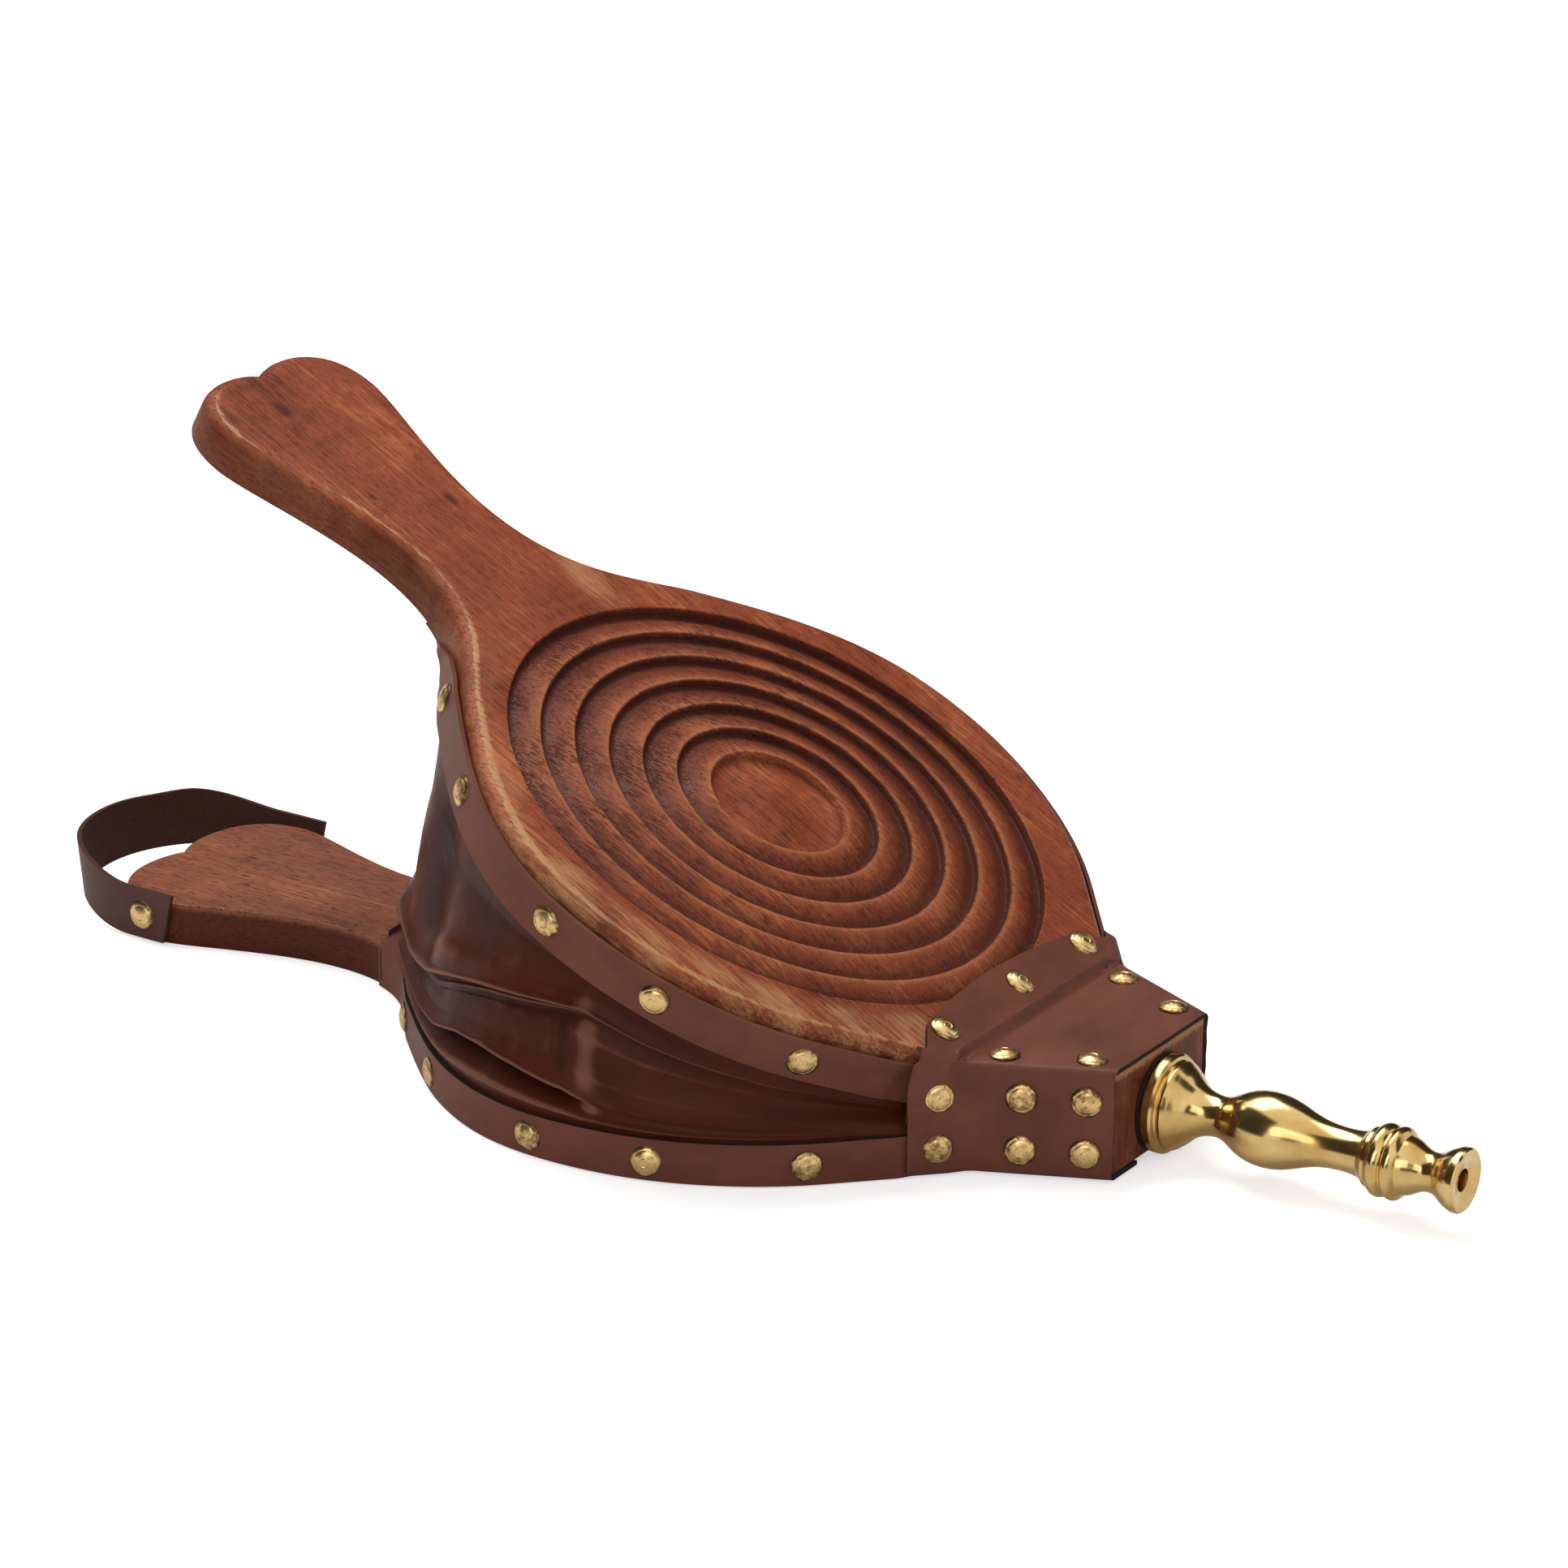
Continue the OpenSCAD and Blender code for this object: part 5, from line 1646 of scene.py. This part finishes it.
def aged_brass():
    """Pressed brass, tarnished by handling: brown oxide in blotches round brighter rubbed metal."""
    material, tree, shader = new_material("brass, pressed, aged")
    flat = in_millimetres(tree, "Object")
    blotch = add(tree, NOISE, pattern(tree, flat, (2.2, 2.2, 2.2), 5, 0.68))
    wide = add(tree, NOISE, pattern(tree, flat, (30, 30, 30), 2))
    specks = add(tree, NOISE, pattern(tree, flat, (0.6, 0.6, 0.6), 3))
    age = add(tree, MATH, {0: wide, 1: 0.7, 2: blotch}, **SUM)
    oxide = add(tree, RANGE, span(age, 0.83, 1.05, 0.0, 0.78), **EASED)
    base = add(tree, MIX, {0: oxide, 6: shade("tack"), 7: shade("tarnish")}, **BLEND)
    spotted = add(tree, RANGE, span(specks, 0.60, 0.74, 0.0, 0.4), **EASED)
    base = add(tree, MIX, {0: spotted, 6: base, 7: shade("tarnish")}, **BLEND)
    # Grime and painted shade darken the rim, against the leather.
    rim = add(tree, READ, {}, "Fac", attribute_name="rim")
    rim = add(tree, MATH, {0: blotch, 1: 0.6, 2: rim}, **SUM)
    rim_grime_and_shade = add(tree, RANGE, span(rim, 1.06, 1.28, 0.0, 0.85), **EASED)
    base = add(tree, MIX, {0: rim_grime_and_shade, 6: base, 7: opaque("#4A2F1C")}, **BLEND)
    give(tree, shader, {"Base Color": base,
                        "Roughness": add(tree, RANGE, span(age, 0.75, 1.05, 0.26, 0.44)),
                        "Normal": add(tree, BUMP, relief(blotch, 0.01, 0.25))},
         Metallic=1.0)
    return material


def plated_steel():
    """Zinc-plated steel screws: grey, fairly smooth, a little dull."""
    material, tree, shader = new_material("steel, zinc plated")
    flat = in_millimetres(tree, "Object")
    film = add(tree, NOISE, pattern(tree, flat, (1.5, 1.5, 1.5), 3))
    base = add(tree, RAMP, {0: film}, stops=[(0.3, shade("steel")), (0.7, opaque("#7D7A72"))])
    give(tree, shader, {"Base Color": base,
                        "Roughness": add(tree, RANGE, span(film, 0.3, 0.7, 0.3, 0.45))},
         Metallic=1.0)
    return material


# ---- Stage ----

# The camera: its turn and rise about the object and its roll, in degrees, then how far
# its axis passes to the side of and above the origin, and its distance, in millimetres.
VIEW_TURN, VIEW_RISE, VIEW_ROLL = math.radians(32.57), math.radians(20.56), math.radians(0.85)
VIEW_ACROSS, VIEW_UP, VIEW_BACK = 11.52, 78.92, 1738.9
LENS = 130.4
# Share of the white surroundings that lights the object; soft boxes give the rest.
AMBIENT = 0.46
FLOOR_LIFT = 0.58   # what the paper adds towards white where the camera sees it
LIGHTS_AIM = 0.06   # height that the lights and cards face, in metres
# Soft boxes: name, where each stands (turn, rise, distance in m), its sides in m, and watts.
SOFT_BOXES = (("overhead", (-125, 66, 1.7), (1.3, 1.0), 21), ("side", (-78, 30, 2.2), (1.2, 1.0), 5),
              ("fill", (22, 24, 2.2), (1.4, 1.0), 7))
# Dark cards that only gloss shows: turn, rise, distance and sides in m.
CARDS = (((-36, 30, 1.7), (2.3, 2.1)), ((110, 30, 2.0), (0.7, 1.6)), ((194, 30, 2.4), (4.2, 2.5)),
         ((34, 14, 2.4), (1.6, 1.2)), ((-95, 20, 2.0), (1.4, 1.2)))


def place_camera():
    """A long lens from the nozzle's side, a little above."""
    right = Vector((math.cos(VIEW_TURN), math.sin(VIEW_TURN), 0))
    level = math.cos(VIEW_RISE)
    back = Vector((math.sin(VIEW_TURN) * level, -math.cos(VIEW_TURN) * level, math.sin(VIEW_RISE)))
    up = back.cross(right)
    roll_cos, roll_sin = math.cos(VIEW_ROLL), math.sin(VIEW_ROLL)
    right, up = right * roll_cos + up * roll_sin, up * roll_cos - right * roll_sin
    camera = bpy.data.cameras.new("camera")
    camera.lens = LENS
    camera.sensor_width = 36
    camera.clip_end = 50
    holder = bpy.data.objects.new("camera", camera)
    bpy.context.scene.collection.objects.link(holder)
    turn = Matrix((right, up, back)).transposed().to_4x4()
    spot = (right * VIEW_ACROSS + up * VIEW_UP + back * VIEW_BACK) * MM
    holder.matrix_world = Matrix.Translation(spot) @ turn
    bpy.context.scene.camera = holder


def plain_floor():
    """Pale paper sweep that keeps the object's shadow."""
    clear_selection()
    bpy.ops.mesh.primitive_plane_add(size=12, location=(0, 0, 0))
    floor = adopt("floor")
    material = bpy.data.materials.new("floor, white paper")
    material.use_nodes = True
    tree = material.node_tree
    tree.nodes.clear()
    seen = add(tree, "ShaderNodeLightPath", {}, "Is Camera Ray")
    lift = add(tree, MATH, {0: seen, 1: FLOOR_LIFT}, **TIMES)
    paper = add(tree, "ShaderNodeBsdfDiffuse", {"Color": opaque("#E6E6E6")})
    glow = add(tree, "ShaderNodeEmission", {"Color": (1, 1, 1, 1), "Strength": lift})
    both = add(tree, "ShaderNodeAddShader", {0: paper, 1: glow})
    tree.links.new(both, tree.nodes.new("ShaderNodeOutputMaterial").inputs["Surface"])
    floor.data.materials.append(material)


def white_world():
    """Even white surroundings: seen and mirrored as white, dimmer as a source of light."""
    world = bpy.data.worlds.new("white room")
    bpy.context.scene.world = world
    world.use_nodes = True
    tree = world.node_tree
    tree.nodes.clear()
    shown = add(tree, "ShaderNodeLightPath", {}, "Is Camera Ray")
    rays = shown.node.outputs
    shown = add(tree, MATH, {0: shown, 1: rays["Is Glossy Ray"]}, operation="MAXIMUM")
    shown = add(tree, MATH, {0: shown, 1: rays["Is Transmission Ray"]}, operation="MAXIMUM")
    strength = add(tree, RANGE, span(shown, 0.0, 1.0, AMBIENT, 1.0))
    light = add(tree, "ShaderNodeBackground", {"Color": (1, 1, 1, 1), "Strength": strength})
    tree.links.new(light, tree.nodes.new("ShaderNodeOutputWorld").inputs["Surface"])


def stand_at(turn, rise, away):
    """A point round the object and the turn that faces it; turn 0 is the near side."""
    a, e = math.radians(turn), math.radians(rise)
    back = Vector((math.sin(a) * math.cos(e), -math.cos(a) * math.cos(e), math.sin(e)))
    return (Matrix.Translation(back * away + Vector((0, 0, LIGHTS_AIM)))
            @ back.to_track_quat("Z", "Y").to_matrix().to_4x4())


def light_stage():
    """Soft boxes above and in front, and dark cards that give the brass its contrast."""
    for name, spot, sides, power in SOFT_BOXES:
        lamp = bpy.data.lights.new(name, "AREA")
        lamp.shape = "RECTANGLE"
        lamp.size, lamp.size_y = sides
        lamp.energy = power
        lamp.specular_factor = 0.0 if name == "fill" else 1.0
        holder = bpy.data.objects.new(name, lamp)
        bpy.context.scene.collection.objects.link(holder)
        holder.matrix_world = stand_at(*spot)
    dark, tree, shader = new_material("card, dark grey cloth")
    give(tree, shader, Base_Color=opaque("#3D3933"), Roughness=1.0)
    for i, (spot, sides) in enumerate(CARDS):
        clear_selection()
        bpy.ops.mesh.primitive_plane_add(size=1)
        card = adopt(f"card_{i}")
        card.data.transform(stand_at(*spot) @ Matrix.Diagonal((*sides, 1, 1)))
        card.data.materials.append(dark)
        card.visible_camera = card.visible_diffuse = card.visible_shadow = False
        card.visible_transmission = card.visible_volume_scatter = False


# ---- Operators and panel ----

class BELLOWS_OT_stage(bpy.types.Operator):
    """Floor, soft light, dark cards and camera"""
    bl_idname = "bellows.stage"
    bl_label = "Stage"

    def execute(self, context):
        context.scene.view_settings.view_transform = "Standard"
        white_world()
        plain_floor()
        light_stage()
        place_camera()
        return {"FINISHED"}


class BELLOWS_OT_bottom_board(bpy.types.Operator):
    """Lower paddle with its intake and tongue"""
    bl_idname = "bellows.bottom_board"
    bl_label = "Bottom board"

    def execute(self, context):
        build_bottom_board()
        return {"FINISHED"}


class BELLOWS_OT_nose_block(bpy.types.Operator):
    """Block between the boards, and its screws"""
    bl_idname = "bellows.nose_block"
    bl_label = "Nose block"

    def execute(self, context):
        build_nose_block()
        return {"FINISHED"}


class BELLOWS_OT_nozzle(bpy.types.Operator):
    """Turned brass nozzle and its black washer"""
    bl_idname = "bellows.nozzle"
    bl_label = "Nozzle"

    def execute(self, context):
        build_nozzle()
        return {"FINISHED"}


class BELLOWS_OT_upper_board(bpy.types.Operator):
    """Carved upper paddle, standing open"""
    bl_idname = "bellows.upper_board"
    bl_label = "Upper board"

    def execute(self, context):
        build_upper_board()
        return {"FINISHED"}


class BELLOWS_OT_gusset(bpy.types.Operator):
    """Folded leather wall between the boards"""
    bl_idname = "bellows.gusset"
    bl_label = "Gusset"

    def execute(self, context):
        build_gusset()
        return {"FINISHED"}


class BELLOWS_OT_bands(bpy.types.Operator):
    """Leather bands tacked round both boards"""
    bl_idname = "bellows.bands"
    bl_label = "Bands"

    def execute(self, context):
        build_lower_band()
        build_upper_band()
        return {"FINISHED"}


class BELLOWS_OT_nose_leather(bpy.types.Operator):
    """Leather wrapped round the nose block, and the strip that hinges the upper board"""
    bl_idname = "bellows.nose_leather"
    bl_label = "Nose leather"

    def execute(self, context):
        build_nose_wrap()
        build_hinge_strip()
        return {"FINISHED"}


class BELLOWS_OT_valve(bpy.types.Operator):
    """Leather flap over the intake, and its hem"""
    bl_idname = "bellows.valve"
    bl_label = "Valve"

    def execute(self, context):
        build_valve()
        return {"FINISHED"}


class BELLOWS_OT_strap(bpy.types.Operator):
    """Leather loop at the lower handle's end"""
    bl_idname = "bellows.strap"
    bl_label = "Hanging strap"

    def execute(self, context):
        build_strap()
        return {"FINISHED"}


class BELLOWS_OT_tacks(bpy.types.Operator):
    """All groups of domed brass tacks"""
    bl_idname = "bellows.tacks"
    bl_label = "Tacks"

    def execute(self, context):
        build_tacks()
        return {"FINISHED"}


STEPS = (BELLOWS_OT_stage, BELLOWS_OT_bottom_board, BELLOWS_OT_nose_block, BELLOWS_OT_nozzle,
         BELLOWS_OT_upper_board, BELLOWS_OT_gusset, BELLOWS_OT_bands, BELLOWS_OT_nose_leather,
         BELLOWS_OT_valve, BELLOWS_OT_strap, BELLOWS_OT_tacks)


class BELLOWS_PT_parts(bpy.types.Panel):
    """Lists the bellows' pieces"""
    bl_idname = "BELLOWS_PT_parts"
    bl_label = "Hand Bellows"
    bl_space_type = "VIEW_3D"
    bl_region_type = "UI"
    bl_category = "Bellows"

    def draw(self, context):
        for step in STEPS:
            self.layout.operator(step.bl_idname)
        for group in (context.scene.bellows_sizes, context.scene.bellows_colours):
            box = self.layout.box()
            for name in group.__annotations__:
                box.prop(group, name)


CLASSES = (BellowsSizes, BellowsColours, *STEPS, BELLOWS_PT_parts)


def register():
    for item in CLASSES:
        bpy.utils.register_class(item)
    bpy.types.Scene.bellows_sizes = PointerProperty(type=BellowsSizes)
    bpy.types.Scene.bellows_colours = PointerProperty(type=BellowsColours)


def unregister():
    del bpy.types.Scene.bellows_colours
    del bpy.types.Scene.bellows_sizes
    for item in reversed(CLASSES):
        bpy.utils.unregister_class(item)


def main():
    register()
    for step in STEPS:
        getattr(bpy.ops.bellows, step.bl_idname.split(".")[1])()


if __name__ == "__main__":
    main()
